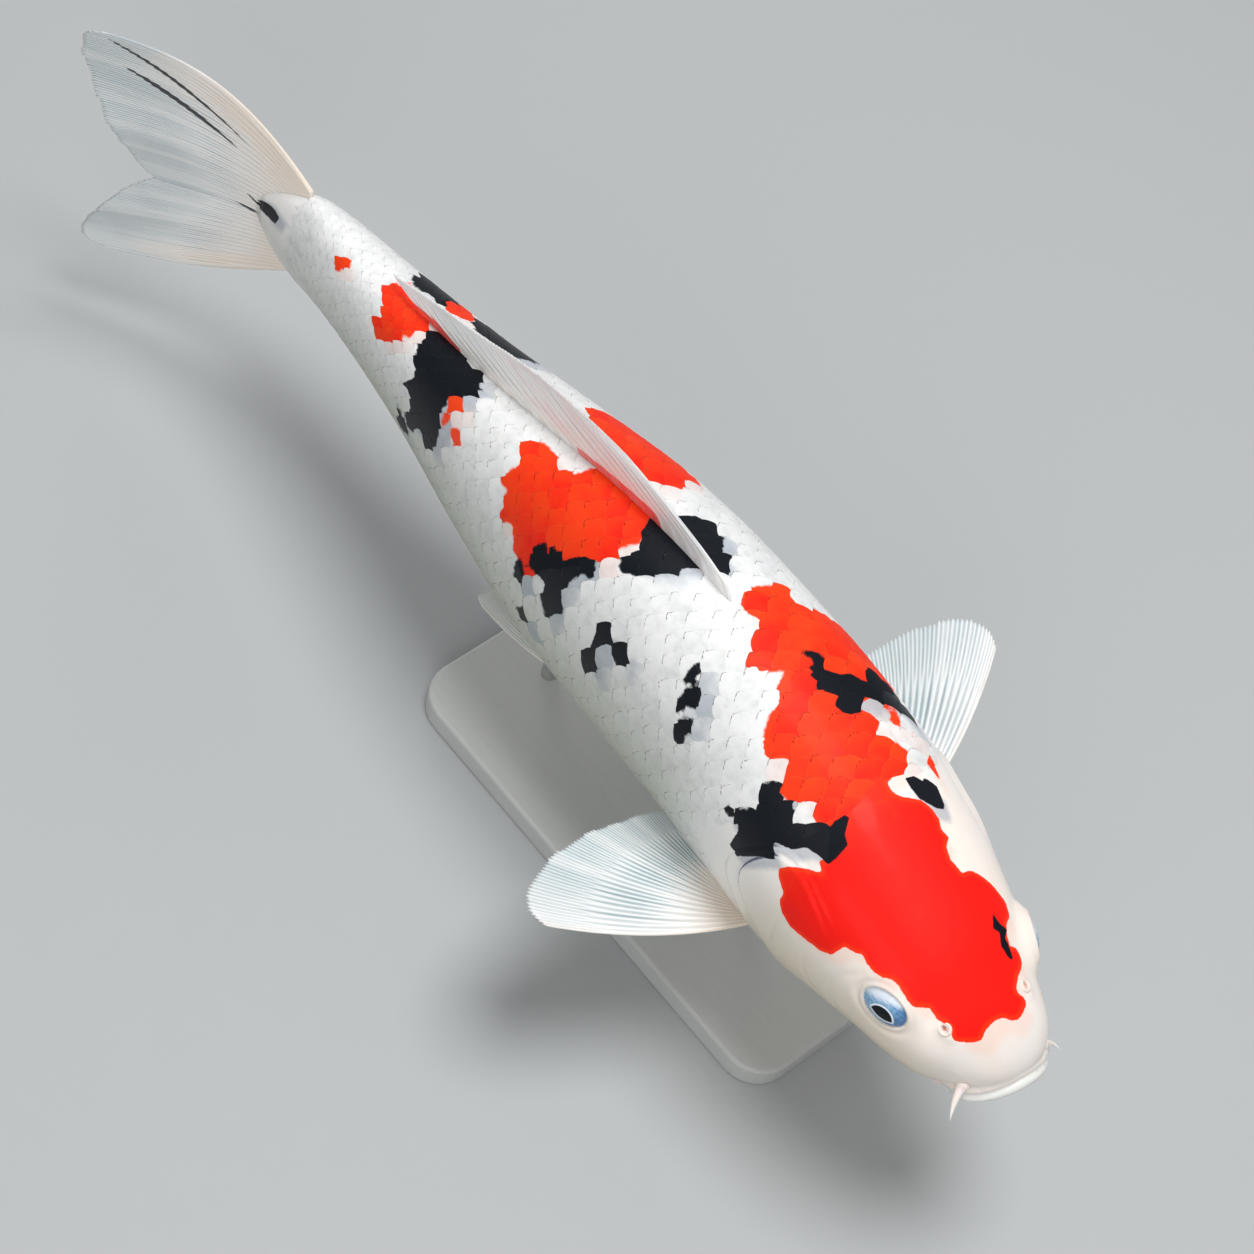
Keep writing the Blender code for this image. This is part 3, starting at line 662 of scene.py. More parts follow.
def end_caps(rows, columns):
    """The faces that close a rolled grid round two more points, before it and behind it."""
    j = np.arange(0, columns, 2)
    fan = np.stack([j, j + 1, (j + 2) % columns], -1)
    front = np.column_stack([fan[:, ::-1], np.full(len(j), rows * columns)])
    back = np.column_stack([fan + (rows - 1) * columns, np.full(len(j), rows * columns + 1)])
    return np.concatenate([front, back])


def rolled_uv(rows, columns, low, high):
    """The map of a rolled grid, cut along its first column, between two corners."""
    i, j = np.meshgrid(np.arange(rows - 1), np.arange(columns), indexing="ij")
    u = np.stack([j, j + 1, j + 1, j], -1) / columns
    v = np.stack([i, i, i + 1, i + 1], -1) / (rows - 1)
    u = low[0] + (high[0] - low[0]) * u
    v = low[1] + (high[1] - low[1]) * v
    return np.stack([u, v], -1).reshape(-1, 4, 2)


print("a 3 by 4 sheet has", len(quads(3, 4)), "faces")

# %% [markdown]
# ## The skin
# One closed skin covers the head, the trunk and the tail stalk, so that no joint of the solids
# shows. It could be sculpted by hand; here each feature of the head is a small rise or hollow
# added along the normal, in millimetres, because a sum of such terms is easy to read and change.
# Under the coat the skin lies deeper, to leave room for the scales.

# %% Skin grid
SKIN_COLUMNS = 288
SNOUT_ROWS = 42
HEAD_STEP, TRUNK_STEP = 0.0016, 0.005
HEAD_END, SKIN_END = 0.30, 1.029
HEAD_DEPTH = 0.25
COAT_DEPTH = 0.70
COAT_RAMP, COAT_LEAD = 0.034, 0.004
COAT_START = {
    0: 0.216, 20: 0.208, 40: 0.212, 52: 0.232, 62: 0.252, 78: 0.274, 92: 0.284, 115: 0.262,
    140: 0.244, 180: 0.228,
}
coat_start = smooth(COAT_START)


def skin_stations():
    """The skin's rows: close together where the snout rounds off, wide apart on the trunk."""
    fullness = np.linspace(0.02, 0.95, SNOUT_ROWS)
    snout = SNOUT_LENGTH * (1 - (1 - fullness**SNOUT_POWER) ** (1 / SNOUT_POWER))
    head = np.arange(snout[-1] + HEAD_STEP, HEAD_END, HEAD_STEP)
    trunk = np.arange(head[-1] + TRUNK_STEP, SKIN_END, TRUNK_STEP)
    return np.concatenate([snout, head, trunk])


SKIN_S, SKIN_A = np.meshgrid(
    skin_stations(), np.linspace(-180, 180, SKIN_COLUMNS, endpoint=False), indexing="ij"
)
SKIN_BASE = surface(SKIN_S, SKIN_A)


def sheet_normals(points):
    """Outward normals of a rolled grid of points."""
    along = np.gradient(points, axis=0)
    around = np.roll(points, -1, axis=1) - np.roll(points, 1, axis=1)
    return unit(np.cross(along, around))


SKIN_NORMAL = sheet_normals(SKIN_BASE)
RIGHT_FLANK = 150, SKIN_COLUMNS * 3 // 4
print("skin rows:", SKIN_BASE.shape[0], "right flank faces", SKIN_NORMAL[RIGHT_FLANK].round(2))

# %% [markdown]
# ### Gill covers and cheeks
# Behind the cheek a bony plate covers the gills. Its rear edge stands off the body, and a soft
# membrane carries on past it to the shoulder. Both edges are loops on the unrolled body: the
# skin steps up inside each, most sharply at the rear.

# %% Gills
def rounded(loop, times=3):
    """A loop with its corners cut until they are round."""
    points = np.array(loop, float)
    for _ in range(times):
        after = np.roll(points, -1, axis=0)
        points = np.stack([0.75 * points + 0.25 * after, 0.25 * points + 0.75 * after], 1).reshape(-1, 2)
    return points


GILL_PLATE = rounded([
    (0.205, 52), (0.238, 56), (0.2455, 63), (0.254, 72), (0.258, 82), (0.254, 89), (0.243, 94),
    (0.231, 98), (0.214, 106), (0.200, 116), (0.182, 125), (0.160, 134), (0.135, 142), (0.110, 148),
    (0.095, 130), (0.110, 90), (0.150, 66),
])
GILL_MEMBRANE = rounded([
    (0.215, 48), (0.243, 54), (0.252, 63), (0.270, 77), (0.274, 90), (0.258, 99), (0.242, 109),
    (0.229, 119), (0.210, 129), (0.186, 139), (0.160, 148), (0.130, 156), (0.100, 162),
    (0.080, 130), (0.100, 90), (0.140, 60),
])
PLATE_STEP, MEMBRANE_STEP = 0.95, 0.75
PLATE_RUN, MEMBRANE_RUN = 0.45, 0.4
PLATE_FADE, MEMBRANE_FADE = 16, 9
CREASE_SHARE = 0.35
GILL_STATIONS = (0.05, 0.33)


def step_up(inside, step, run, fade):
    """A raised edge that dies away over the plate, with a crease outside it."""
    rise = step * eased(-run, run, inside) * np.exp(-np.clip(inside, 0, None) / fade)
    return rise - CREASE_SHARE * step * bell(inside + run, 1.4 * run)


def gill_relief(station, degrees):
    side = np.abs(degrees)
    near = (station > GILL_STATIONS[0]) & (station < GILL_STATIONS[1])
    relief = np.zeros_like(station)
    plate = depth_in([GILL_PLATE], station[near], side[near])
    membrane = depth_in([GILL_MEMBRANE], station[near], side[near])
    rear = eased(0.150, 0.205, station[near] + 0.0007 * np.clip(side[near] - 100, 0, None))
    plate_edge = step_up(plate, PLATE_STEP, PLATE_RUN, PLATE_FADE)
    membrane_edge = step_up(membrane, MEMBRANE_STEP, MEMBRANE_RUN, MEMBRANE_FADE)
    relief[near] = rear * (plate_edge + membrane_edge)
    return relief


CHEEK_FOLDS = [
    [(0.166, 74), (0.169, 84), (0.165, 94), (0.155, 104), (0.140, 113), (0.120, 120)],
    [(0.120, 62), (0.132, 74), (0.138, 86), (0.134, 98), (0.122, 108)],
    [(0.196, 70), (0.206, 84), (0.204, 98)],
]
SNOUT_FOLD = [(0.0225, 84), (0.0190, 91), (0.0140, 98), (0.0095, 107), (0.0080, 116)]
SNOUT_FOLD_LEFT = [(station, -degrees) for station, degrees in SNOUT_FOLD]
FOLD_DEPTH, FOLD_WIDTH = 0.28, 1.5


def from_line(line, station, degrees):
    """Distance in millimetres from an open line on the unrolled body."""
    x, y = unrolled(station, degrees)
    knots = np.array(line, float)
    cx, cy = unrolled(knots[:, 0], knots[:, 1])
    spans = zip(cx[:-1], cy[:-1], cx[1:], cy[1:])
    return np.sqrt(np.min([squared_reach(x, y, *span) for span in spans], axis=0))


def cheek_relief(station, degrees):
    """Shallow folds over the cheek and one deeper groove on each side of the snout."""
    side = np.abs(degrees)
    folds = sum(bell(from_line(line, station, side), FOLD_WIDTH) for line in CHEEK_FOLDS)
    right, left = (from_line(line, station, degrees) for line in (SNOUT_FOLD, SNOUT_FOLD_LEFT))
    snout = np.minimum(right, left)
    groove = -0.5 * bell(snout, 0.8) + 0.35 * bell(snout, 2.6)
    return groove - FOLD_DEPTH * folds * (station < GILL_STATIONS[1])


print("deepest gill crease:", gill_relief(SKIN_S, SKIN_A).min().round(2), "mm")

# %% [markdown]
# ### Eyes, nostrils and mouth
# The eye is a shallow dome in a round socket whose rim stands up a little. The nostril is a pit
# in a low mound. The lips are swept bulges: the skin near a lip's line is carried along its own
# normal to a round bulge, runs out over a soft skirt and keeps a crease behind the lip.

# %% Eyes and nostrils in the skin
SIDES = {"right": 1, "left": -1}
EYE_PLACE = {
    "station": 0.0913, "side": {1: 0.0345, -1: 0.0386}, "height": 0.0115, "lift": 16.0, "lean": 20.0,
    "radius": 0.0107, "upright": 0.78, "rise": 0.0032, "sink": 0.0006, "bowl": 0.0035,
}
SOCKET_FLOOR = 3.2
NOSTRIL_PLACE = {"station": 0.0527, "degrees": {1: 40.0, -1: -33.5}}


def eye_frame(sign):
    """Centre, ahead, up and out of an eye; sign is 1 on the fish's right."""
    station = EYE_PLACE["station"]
    centre = place(station, -sign * EYE_PLACE["side"][sign], EYE_PLACE["height"])
    beside = unit(place(station, -sign, 0.0) - place(station, 0.0, 0.0))
    forward = unit(place(station - 0.01, 0.0, 0.0) - place(station + 0.01, 0.0, 0.0))
    lift, lean = math.radians(EYE_PLACE["lift"]), math.radians(EYE_PLACE["lean"])
    out = unit(beside * math.cos(lean) + forward * math.sin(lean) + np.array([0, 0, math.tan(lift)]))
    up = unit(np.array([0, 0, 1.0]) - out[2] * out)
    ahead = np.cross(up, out) * sign
    return centre, ahead, up, out


def in_frame(points, frame_axes):
    centre, ahead, up, out = frame_axes
    offset = points - centre
    return offset @ ahead, offset @ up, offset @ out


def socket(points, sign):
    """The skin pulled to the socket round one eye: a sunk floor, a raised lid, a faint moat."""
    axes = eye_frame(sign)
    p, q, n = (value / MM for value in in_frame(points, axes))
    past_rim = np.hypot(p, q / EYE_PLACE["upright"]) - EYE_PLACE["radius"] / MM
    weight = bell(np.clip(past_rim - 0.6, 0, None), 4.0) * (n > -14)
    floor = -SOCKET_FLOOR * (1 - eased(-1.4, -0.1, past_rim))
    lid = 0.85 * bell(past_rim - 0.4, 0.8) - 0.35 * bell(past_rim - 2.6, 1.0)
    return points + (weight * (floor + lid - n) * MM)[..., None] * axes[3]


def from_nostril(station, degrees):
    """Millimetres behind the nostril of the same side and round the body from it."""
    x, y = unrolled(station, np.abs(degrees))
    centre = np.where(degrees > 0, NOSTRIL_PLACE["degrees"][1], -NOSTRIL_PLACE["degrees"][-1])
    nx, ny = unrolled(NOSTRIL_PLACE["station"] + 0 * centre, centre)
    return x - nx, y - ny


def nostril_pit(station, degrees):
    x, y = from_nostril(station, degrees)
    return bell((x / 1.3) ** 2 + (y / 0.8) ** 2, 1)


def nostril_relief(station, degrees):
    """A mound round the nostril with a flap ahead of it and the pit inside."""
    x, y = from_nostril(station, degrees)
    mound = 0.8 * np.exp(-(((x**2 + y**2) / 3.9**2) ** 1.5))
    flap = 0.55 * bell(x + 4.2, 1.9) * bell(y, 2.4)
    return mound + flap - 1.6 * nostril_pit(station, degrees)


print("right eye at", eye_frame(1)[0].round(4), "facing", eye_frame(1)[3].round(2))

# %% Lips in the skin
UPPER_LIP = {
    "back": 0.022, "reach": 0.0240, "half_width": 0.0228, "height": -0.0125, "droop": 0.006,
    "aside": 0.0018, "radius": 0.0027, "crease": 0.0007, "skirt": 0.0055,
}
LOWER_LIP = {
    "back": 0.022, "reach": 0.0195, "half_width": 0.0185, "height": -0.0182, "droop": 0.004,
    "aside": 0.0012, "radius": 0.0022, "crease": 0.0004, "skirt": 0.0060,
}
CREASE_GAP, CREASE_WIDTH = 0.0008, 0.0009
MOUTH_STATIONS = 0.075


def lip_line(turn, look):
    """A point of a lip, by its turn from the front of the mouth in degrees."""
    angle = np.radians(turn)
    station = look["back"] - look["reach"] * np.cos(angle)
    height = look["height"] - look["droop"] * np.abs(np.sin(angle)) ** 1.5
    return place(station, look["aside"] + look["half_width"] * np.sin(angle), height)


def swept_bulge(points, look):
    """The skin carried out to a lip's line and rounded over it, with a crease behind it."""
    turns = np.linspace(-88, 88, 89)
    line = lip_line(turns, look)
    thick = look["radius"] * (0.5 + 0.5 * np.cos(np.radians(turns)) ** 0.7)
    near = SKIN_S < MOUTH_STATIONS
    local, normal = points[near], SKIN_NORMAL[near]
    which = np.linalg.norm(local[:, None, :] - line[None], axis=2).argmin(1)
    offset, r = local - line[which], thick[which]
    out = (offset * normal).sum(-1)
    beside = np.linalg.norm(offset - out[:, None] * normal, axis=1)
    bulge = np.sqrt(np.clip(r**2 - beside**2, 0, None))
    share = 1 - eased(r, r + look["skirt"], beside)
    groove = look["crease"] * bell(beside - r - CREASE_GAP, CREASE_WIDTH)
    target = np.where(beside < r, bulge, out * (1 - share) - groove)
    moved = points.copy()
    moved[near] = local + normal * np.where(beside < r + look["skirt"], target - out, 0)[:, None]
    return moved


def tail_taper(station, degrees):
    """Millimetres that the end of the stalk thins by, to run out over the tail fin."""
    return 3.4 * eased(0.985, 1.032, station) * np.abs(np.sin(np.radians(degrees))) ** 0.7


def skin_points():
    """The body's surface with all its relief, a little deeper where the coat covers it."""
    s, a = SKIN_S, SKIN_A
    coated = eased(0, COAT_RAMP, s - coat_start(np.abs(a)) + COAT_LEAD)
    coated = coated * (1 - 0.6 * eased(0.97, 1.02, s))
    relief = -HEAD_DEPTH - (COAT_DEPTH - HEAD_DEPTH) * coated
    relief = relief + gill_relief(s, a) + cheek_relief(s, a) + nostril_relief(s, a) - tail_taper(s, a)
    points = SKIN_BASE + SKIN_NORMAL * (relief * MM)[..., None]
    for sign in SIDES.values():
        points = socket(points, sign)
    return swept_bulge(swept_bulge(points, LOWER_LIP), UPPER_LIP)


SKIN_POINTS = skin_points()
print("skin spans", (SKIN_POINTS.max((0, 1)) - SKIN_POINTS.min((0, 1))).round(3))

# %% [markdown]
# ### The finish of living skin
# Wet skin is clear mucus over pigment, so it takes a clear coat, weaker over the velvety red and
# black, and a little light under the surface. Red lies thick on the crown and thinner from the
# shoulder on, where it turns orange. One function colours the skin and the scales, so that the
# patches run through from one to the other.

# %% Skin colours
WHITE = (0.84, 0.825, 0.80)
CREAM = (0.90, 0.78, 0.69)
RED = (0.90, 0.008, 0.003)
ORANGE = (0.95, 0.055, 0.006)
PALE_ORANGE = (0.92, 0.34, 0.20)
BLACK = (0.003, 0.005, 0.009)
BLUE_GREY = (0.16, 0.22, 0.31)
# Painted shade: a grey-olive for the lower flank, with a greenish painted reflection in it.
OLIVE_SHADE = (0.37, 0.395, 0.30)
MILK = (0.90, 0.89, 0.88)
ROSY = (0.80, 0.70, 0.62)
# Painted shade: a darker tan where the lower cheek and jaw turn under.
JAW_SHADE = (0.60, 0.53, 0.38)
LIP_GREY = (0.70, 0.73, 0.72)
NOSTRIL_RED = (0.42, 0.06, 0.03)
# Painted shade for the gill's edges: a dark line and a faint bluish shadow.
GILL_CREASE_SHADE = (0.02, 0.03, 0.07)
GILL_SHADOW_BLUE = (0.45, 0.50, 0.66)


def body_colour(paint, white, frayed, tone):
    """The body's colour from its distances to the patches, with the shares of red and black."""
    red = (paint.trait("red") + frayed).above(-0.22, 0.22)
    orange = (paint.trait("orange") + frayed).above(-0.3, 0.3)
    black = (paint.trait("black") + 1.3 * frayed).above(-0.2, 0.2)
    rim = paint.trait("red").above(0.9, 2.4)
    under_red = (paint.trait("red_veil") + 2.0 * frayed).above(-2.5, 2.0)
    under_black = (paint.trait("black_veil") + 1.5 * frayed).above(-1.5, 2.0)
    reds = paint.blend(tone, RED, ORANGE)
    reds = paint.blend((1 - rim) * 0.45, reds, ORANGE)
    colour = paint.blend(0.20 * under_red, white, PALE_ORANGE)
    colour = paint.blend(0.50 * under_black, colour, BLUE_GREY)
    colour = paint.blend(orange, colour, ORANGE)
    colour = paint.blend(red, colour, reds)
    return paint.blend(black, colour, BLACK), red, black


def skin_material():
    paint = Paint("wet_skin")
    frayed = (paint.noise(520, 3, 0.6) - 0.5) * 0.8
    cloud = paint.noise(28, 4, 0.55)
    fine = paint.noise(900, 2, 0.6)
    veins = paint.cell_edges(95)
    head = paint.trait("head")
    flushed = (paint.noise(75, 3, 0.5) - 0.35) * 0.5 * head
    white = paint.blend(head, WHITE, CREAM)
    white = paint.blend(cloud.above(0.35, 0.75) * 0.5, white, MILK)
    white = paint.blend(flushed, white, ROSY)
    # The lower flank is tinted olive: painted shade with a greenish painted reflection.
    white = paint.blend(paint.trait("low") * 0.75, white, OLIVE_SHADE)
    # Painted shade: the lower cheek and jaw turn tan as they face down.
    white = paint.blend(paint.trait("jaw") * 0.75, white, JAW_SHADE)
    white = paint.blend(paint.trait("lip") * 0.7, white, LIP_GREY)
    white = paint.blend(paint.trait("pit"), white, NOSTRIL_RED)
    tone = (paint.trait("shoulder") * 0.6 + (cloud - 0.5) * 0.35).above(0.05, 1.0)
    tone = tone + (1 - veins.above(0.0, 0.10)) * 0.25 * paint.trait("shoulder")
    colour, red, black = body_colour(paint, white, frayed, tone)
    # Painted shade: dark lines along the gill cover's rear edge and in the membrane's crease.
    plate, membrane, rear = paint.trait("plate"), paint.trait("membrane"), paint.trait("arc")
    line = 1 - abs(plate - 0.1 + frayed * 0.3).above(0.30 * rear, 0.30 * rear + 0.35)
    arc = line * rear.above(0.15, 0.5)
    fold = (1 - abs(membrane + 0.5).above(0.25, 0.8)) * paint.trait("fold")
    colour = paint.blend((arc * 0.92 + fold * 0.8) * (1 - black), colour, GILL_CREASE_SHADE)
    # A faint bluish painted shadow just behind the gill cover's edge.
    plate_shadow = (1 - abs(plate + 1.0).above(0.0, 2.2)) * rear * (1 - black) * 0.15
    colour = paint.blend(plate_shadow, colour, GILL_SHADOW_BLUE)
    crease = paint.noise(160, 4, 0.6)
    height = crease * 0.5 + fine * 0.25 + cloud * 0.6
    return paint.finish(
        base_color=colour,
        roughness=0.30 + 0.14 * crease + 0.16 * red + 0.14 * black,
        subsurface_weight=0.10,
        subsurface_radius=(0.006, 0.002, 0.001),
        subsurface_scale=0.35,
        coat_weight=0.42 - 0.37 * red - 0.20 * black,
        coat_roughness=0.10,
        specular_ior_level=0.14,
        normal=paint.bump(height, 0.22, 0.0006),
    )


SKIN_FINISH = skin_material()
print("finish:", SKIN_FINISH.name)


# %% The skin piece
ANCHOR_PULL = 0.72
ANCHOR_LIMITS = (-1.6, 3.2)
GILL_REACH = 20


def body_traits(station, degrees, anchor_station=None, anchor_degrees=None):
    """The values that colour the body; a scale's are drawn to those at its own anchor."""
    traits = {}
    for name in CHARTS:
        value = marking(name, station, degrees)
        if anchor_station is not None:
            anchored = marking(name, anchor_station, anchor_degrees)
            drawn = (1 - ANCHOR_PULL) * value + ANCHOR_PULL * anchored
            value = np.clip(drawn, value + ANCHOR_LIMITS[0], value + ANCHOR_LIMITS[1])
        traits[name] = value
    # low grows down the flank behind the head and carries the painted olive shade there.
    low = eased(54, 112, np.abs(degrees)) * eased(0.26, 0.38, station)
    traits["head"] = (1 - eased(0.16, 0.27, station)) * 0.75
    traits["low"] = low * (1 - 0.55 * eased(0.8, 1.0, station))
    traits["shoulder"] = eased(0.17, 0.27, station)
    return traits


def on_lip(points):
    """1 on the upper lip and 0 off it."""
    line = lip_line(np.linspace(-84, 84, 85), UPPER_LIP)
    radius, front = UPPER_LIP["radius"], SKIN_S < MOUTH_STATIONS
    share = np.zeros(points.shape[:2])
    from_lip = np.linalg.norm(points[front][:, None] - line, axis=2).min(1)
    share[front] = 1 - eased(radius, 1.25 * radius, from_lip)
    return share


def head_traits(station, degrees):
    """Distances in from the gill's edges, which carry painted shade, and the head's other tints."""
    side = np.abs(degrees)
    right = (degrees > 0) * (station > 0.20) * (station < 0.275)
    return {
        "plate": np.clip(depth_in([GILL_PLATE], station, side), -GILL_REACH, GILL_REACH),
        "membrane": np.clip(depth_in([GILL_MEMBRANE], station, side), -GILL_REACH, GILL_REACH),
        # arc and fold say where the painted shade of the gill's edges lies.
        "arc": right * eased(55, 63, degrees) * (1 - eased(86, 97, degrees)),
        "fold": right * (station > 0.232) * eased(54, 58, degrees) * (1 - eased(64, 70, degrees)),
        # jaw grows where the head turns under, for its painted shade.
        "jaw": eased(56, 112, side) * (1 - eased(0.20, 0.30, station)) * eased(0.01, 0.05, station),
        "pit": nostril_pit(station, degrees),
        "lip": on_lip(SKIN_POINTS),
    }


def skin():
    """The whole skin as one piece, closed at the snout and over the root of the tail fin."""
    rows, columns = SKIN_S.shape
    ends = [SKIN_POINTS[0].mean(0), SKIN_POINTS[-1].mean(0)]
    points = np.concatenate([SKIN_POINTS.reshape(-1, 3), ends])
    faces = np.concatenate([quads(rows, columns, rolled=True), end_caps(rows, columns)])
    cap_uv = np.zeros((columns, 4, 2))
    cap_uv[: columns // 2, :, 1] = 0.005
    cap_uv[columns // 2:, :, 1] = 0.995
    uv = np.concatenate([rolled_uv(rows, columns, (0.0, 0.01), (1.0, 0.99)), cap_uv])
    traits = {**body_traits(SKIN_S, SKIN_A), **head_traits(SKIN_S, SKIN_A)}
    traits = {name: np.append(value, value.ravel()[[0, -1]]) for name, value in traits.items()}
    flesh = ["head", "lower_jaw", "upper_lip", "gill_cover_right", "gill_cover_left", "trunk_front",
             "trunk_rear", "tail_stalk"]
    return new_piece("skin", points, faces, traits, uv, SKIN_FINISH, flesh)


print("skin faces:", len(skin().data.polygons))

# %% [markdown]
# ## The scales
# A carp's scales overlap like roof tiles: each is rooted in the skin and its rounded free edge
# points at the tail. An array modifier can't follow a body that bends and tapers, so each scale
# is its own small closed leaf, laid out in staggered columns round the body. Colours lie in whole
# scales, so the rear edge of a patch is scalloped, while its front fades under white scales.
# A scale's free edge is kept sharp, or its thin rim would shade as if it were thick.

# %% Scale layout
SCALE_ROWS = 40
PITCH = {0.22: 0.0092, 0.30: 0.0108, 0.50: 0.0112, 0.70: 0.0098, 0.85: 0.0082, 1.0: 0.0066}
pitch = smooth(PITCH)
SCALE_LENGTH = 1.78
SCALE_WIDTH = 0.96
LEAF_ALONG, LEAF_ACROSS = 12, 11
SCALE_THICKNESS = 0.00010
SCALE_TILT = 0.00018
SCALE_BED = 0.00006
SCALE_ARCH = 0.00001
SCALE_CAP = 0.50
SCALE_SWING = 18
SCALE_WAVE = 0.012
FIRST_ROOT, LAST_ROOT, LAST_TIP = 0.19, 1.012, 1.036
ANCHOR_AT = 0.72
DICE = np.random.default_rng(7)


def scale_anchors():
    """Root station and angle of every scale, from the nape to the tail."""
    anchors = []
    station, column = FIRST_ROOT, 0
    while station < LAST_ROOT:
        spacing = float(pitch(station)) / LENGTH
        for row in range(column % 2, SCALE_ROWS, 2):
            degrees = (row * 360 / SCALE_ROWS + 180) % 360 - 180
            behind_head = station + COAT_LEAD > float(coat_start(abs(degrees)))
            if behind_head and station + SCALE_LENGTH * spacing < LAST_TIP:
                anchors.append((station, degrees))
        station += spacing / 2
        column += 1
    return np.array(anchors)


ANCHORS = scale_anchors()
print("scales:", len(ANCHORS))


# %% One leaf for every anchor
def leaf_outline(v):
    """Half the width of a scale along its length: narrow root, full middle, round free edge."""
    cap = np.clip((v - SCALE_CAP) / (1 - SCALE_CAP), 0, 1)
    return np.sqrt(1 - cap**2) * (0.70 + 0.30 * eased(0, 0.40, v))


def scale_leaves(anchors):
    """Points and traits of the leaves, as (leaf, side, along, across)."""
    count = len(anchors)
    v = np.sin(np.linspace(0, 1, LEAF_ALONG) * math.pi / 2) ** 1.15
    w = np.linspace(-1, 1, LEAF_ACROSS)
    v, w = (grid[None] for grid in np.meshgrid(v, w, indexing="ij"))
    root, degrees = anchors[:, 0, None, None], anchors[:, 1, None, None]
    size = 1 + DICE.uniform(-0.04, 0.04, (count, 1, 1))
    twist = DICE.uniform(-0.10, 0.10, (count, 1, 1))
    raised = 1 + DICE.uniform(-0.05, 0.05, (count, 1, 1))
    length = SCALE_LENGTH * pitch(root) / LENGTH * size
    half_row = 360 / SCALE_ROWS * SCALE_WIDTH * size
    wavy = 1 + SCALE_WAVE * np.sin(w * 13 + twist * 300) * eased(0.7, 1, v)
    station = root + length * (v * wavy - 0.05 * w * w * v)
    angle = degrees + w * leaf_outline(v) * half_row + SCALE_SWING * twist * v
    flatten = 1 - 0.45 * eased(0.86, 1.0, root)
    lift = -COAT_DEPTH * MM - SCALE_BED + SCALE_TILT * flatten * raised * v
    lift = lift + SCALE_ARCH * (np.sin(v * math.pi) - w**2) - tail_taper(station, angle) * MM
    thick = SCALE_THICKNESS * (0.35 + 0.65 * eased(0, 0.25, 1 - v)) * (1 - 0.5 * np.abs(w) ** 3)
    base, normal = surface(station, angle), outward(station, angle)
    top = base + normal * lift[..., None]
    under = base + normal * (lift - thick)[..., None]
    traits = body_traits(station, angle, root + ANCHOR_AT * length, degrees)
    from_tip = (1 - v) * length * LENGTH / MM
    from_side = (1 - np.abs(w)) * half_row * girth(station) + 1.2 * (1 - v)
    shade = DICE.uniform(0, 1, (count, 1, 1))
    own = {"shade": shade, "along": v, "across": w, "free": np.minimum(from_tip, from_side)}
    traits.update({name: value + 0 * angle for name, value in own.items()})
    return np.stack([top, under], 1), traits


LEAF_POINTS = LEAF_ALONG * LEAF_ACROSS
LEAF = folded_faces(LEAF_ALONG, LEAF_ACROSS)


def leaf_faces(count):
    """The faces of one leaf after another."""
    starts = 2 * LEAF_POINTS * np.arange(count)
    return (LEAF + starts[:, None, None]).reshape(-1, 4)


def on_rim(ends):
    """True for the edges of a leaf's upper or lower outline, so that its faces stay flat there."""
    side, spot = np.divmod(ends % (2 * LEAF_POINTS), LEAF_POINTS)
    i, j = np.divmod(spot, LEAF_ACROSS)
    rim = (i == 0) | (i == LEAF_ALONG - 1) | (j == 0) | (j == LEAF_ACROSS - 1)
    return rim.all(1) & (side[:, 0] == side[:, 1])


PATCH_ACROSS, PATCH_ALONG = 0.010, 0.008
PATCH_GAP = 0.003
MAP_WIDTH, MAP_LENGTH = 0.97, 1.02


def leaf_uv(anchors):
    """Two small patches for each leaf, over and under, at its root's place on the unrolled body."""
    i, j = np.divmod(np.arange(LEAF_POINTS), LEAF_ACROSS)
    u = PATCH_ACROSS * j / (LEAF_ACROSS - 1)
    v = PATCH_ALONG * i / (LEAF_ALONG - 1)
    over, under = np.stack([u, v], -1), np.stack([u + PATCH_ACROSS + PATCH_GAP, v], -1)
    patch = np.concatenate([over, under])[LEAF]
    root = np.stack([(anchors[:, 1] + 180) / 360 * MAP_WIDTH, anchors[:, 0] / MAP_LENGTH], -1)
    return (root[:, None, None, :] + patch).reshape(-1, 2)


print("a leaf has", len(LEAF), "faces")

# %% [markdown]
# ### The finish of the scales
# A white scale is pearly: pale, slightly blue in its thin parts, with fine rays towards the free
# edge and a painted highlight that pales it there and towards its tip. A red one is saturated with
# a thin orange rim, no two quite alike. A black one is nearly blue. A clear wet coat lies over the
# white ones and almost none over the red and black.

# %% Scale finish
PEARL_SHADE = (0.72, 0.72, 0.70)
PEARL_GREY = (0.63, 0.63, 0.60)
PEARL_BRIGHT = (0.90, 0.89, 0.87)
PEARL_SHINE = (0.92, 0.91, 0.89)
# Painted highlight for the free edge and the tip of a white scale.
PEARL_HIGHLIGHT = (0.94, 0.93, 0.91)
RED_RIM = (0.96, 0.20, 0.08)
BLACK_RIM = (0.05, 0.06, 0.08)


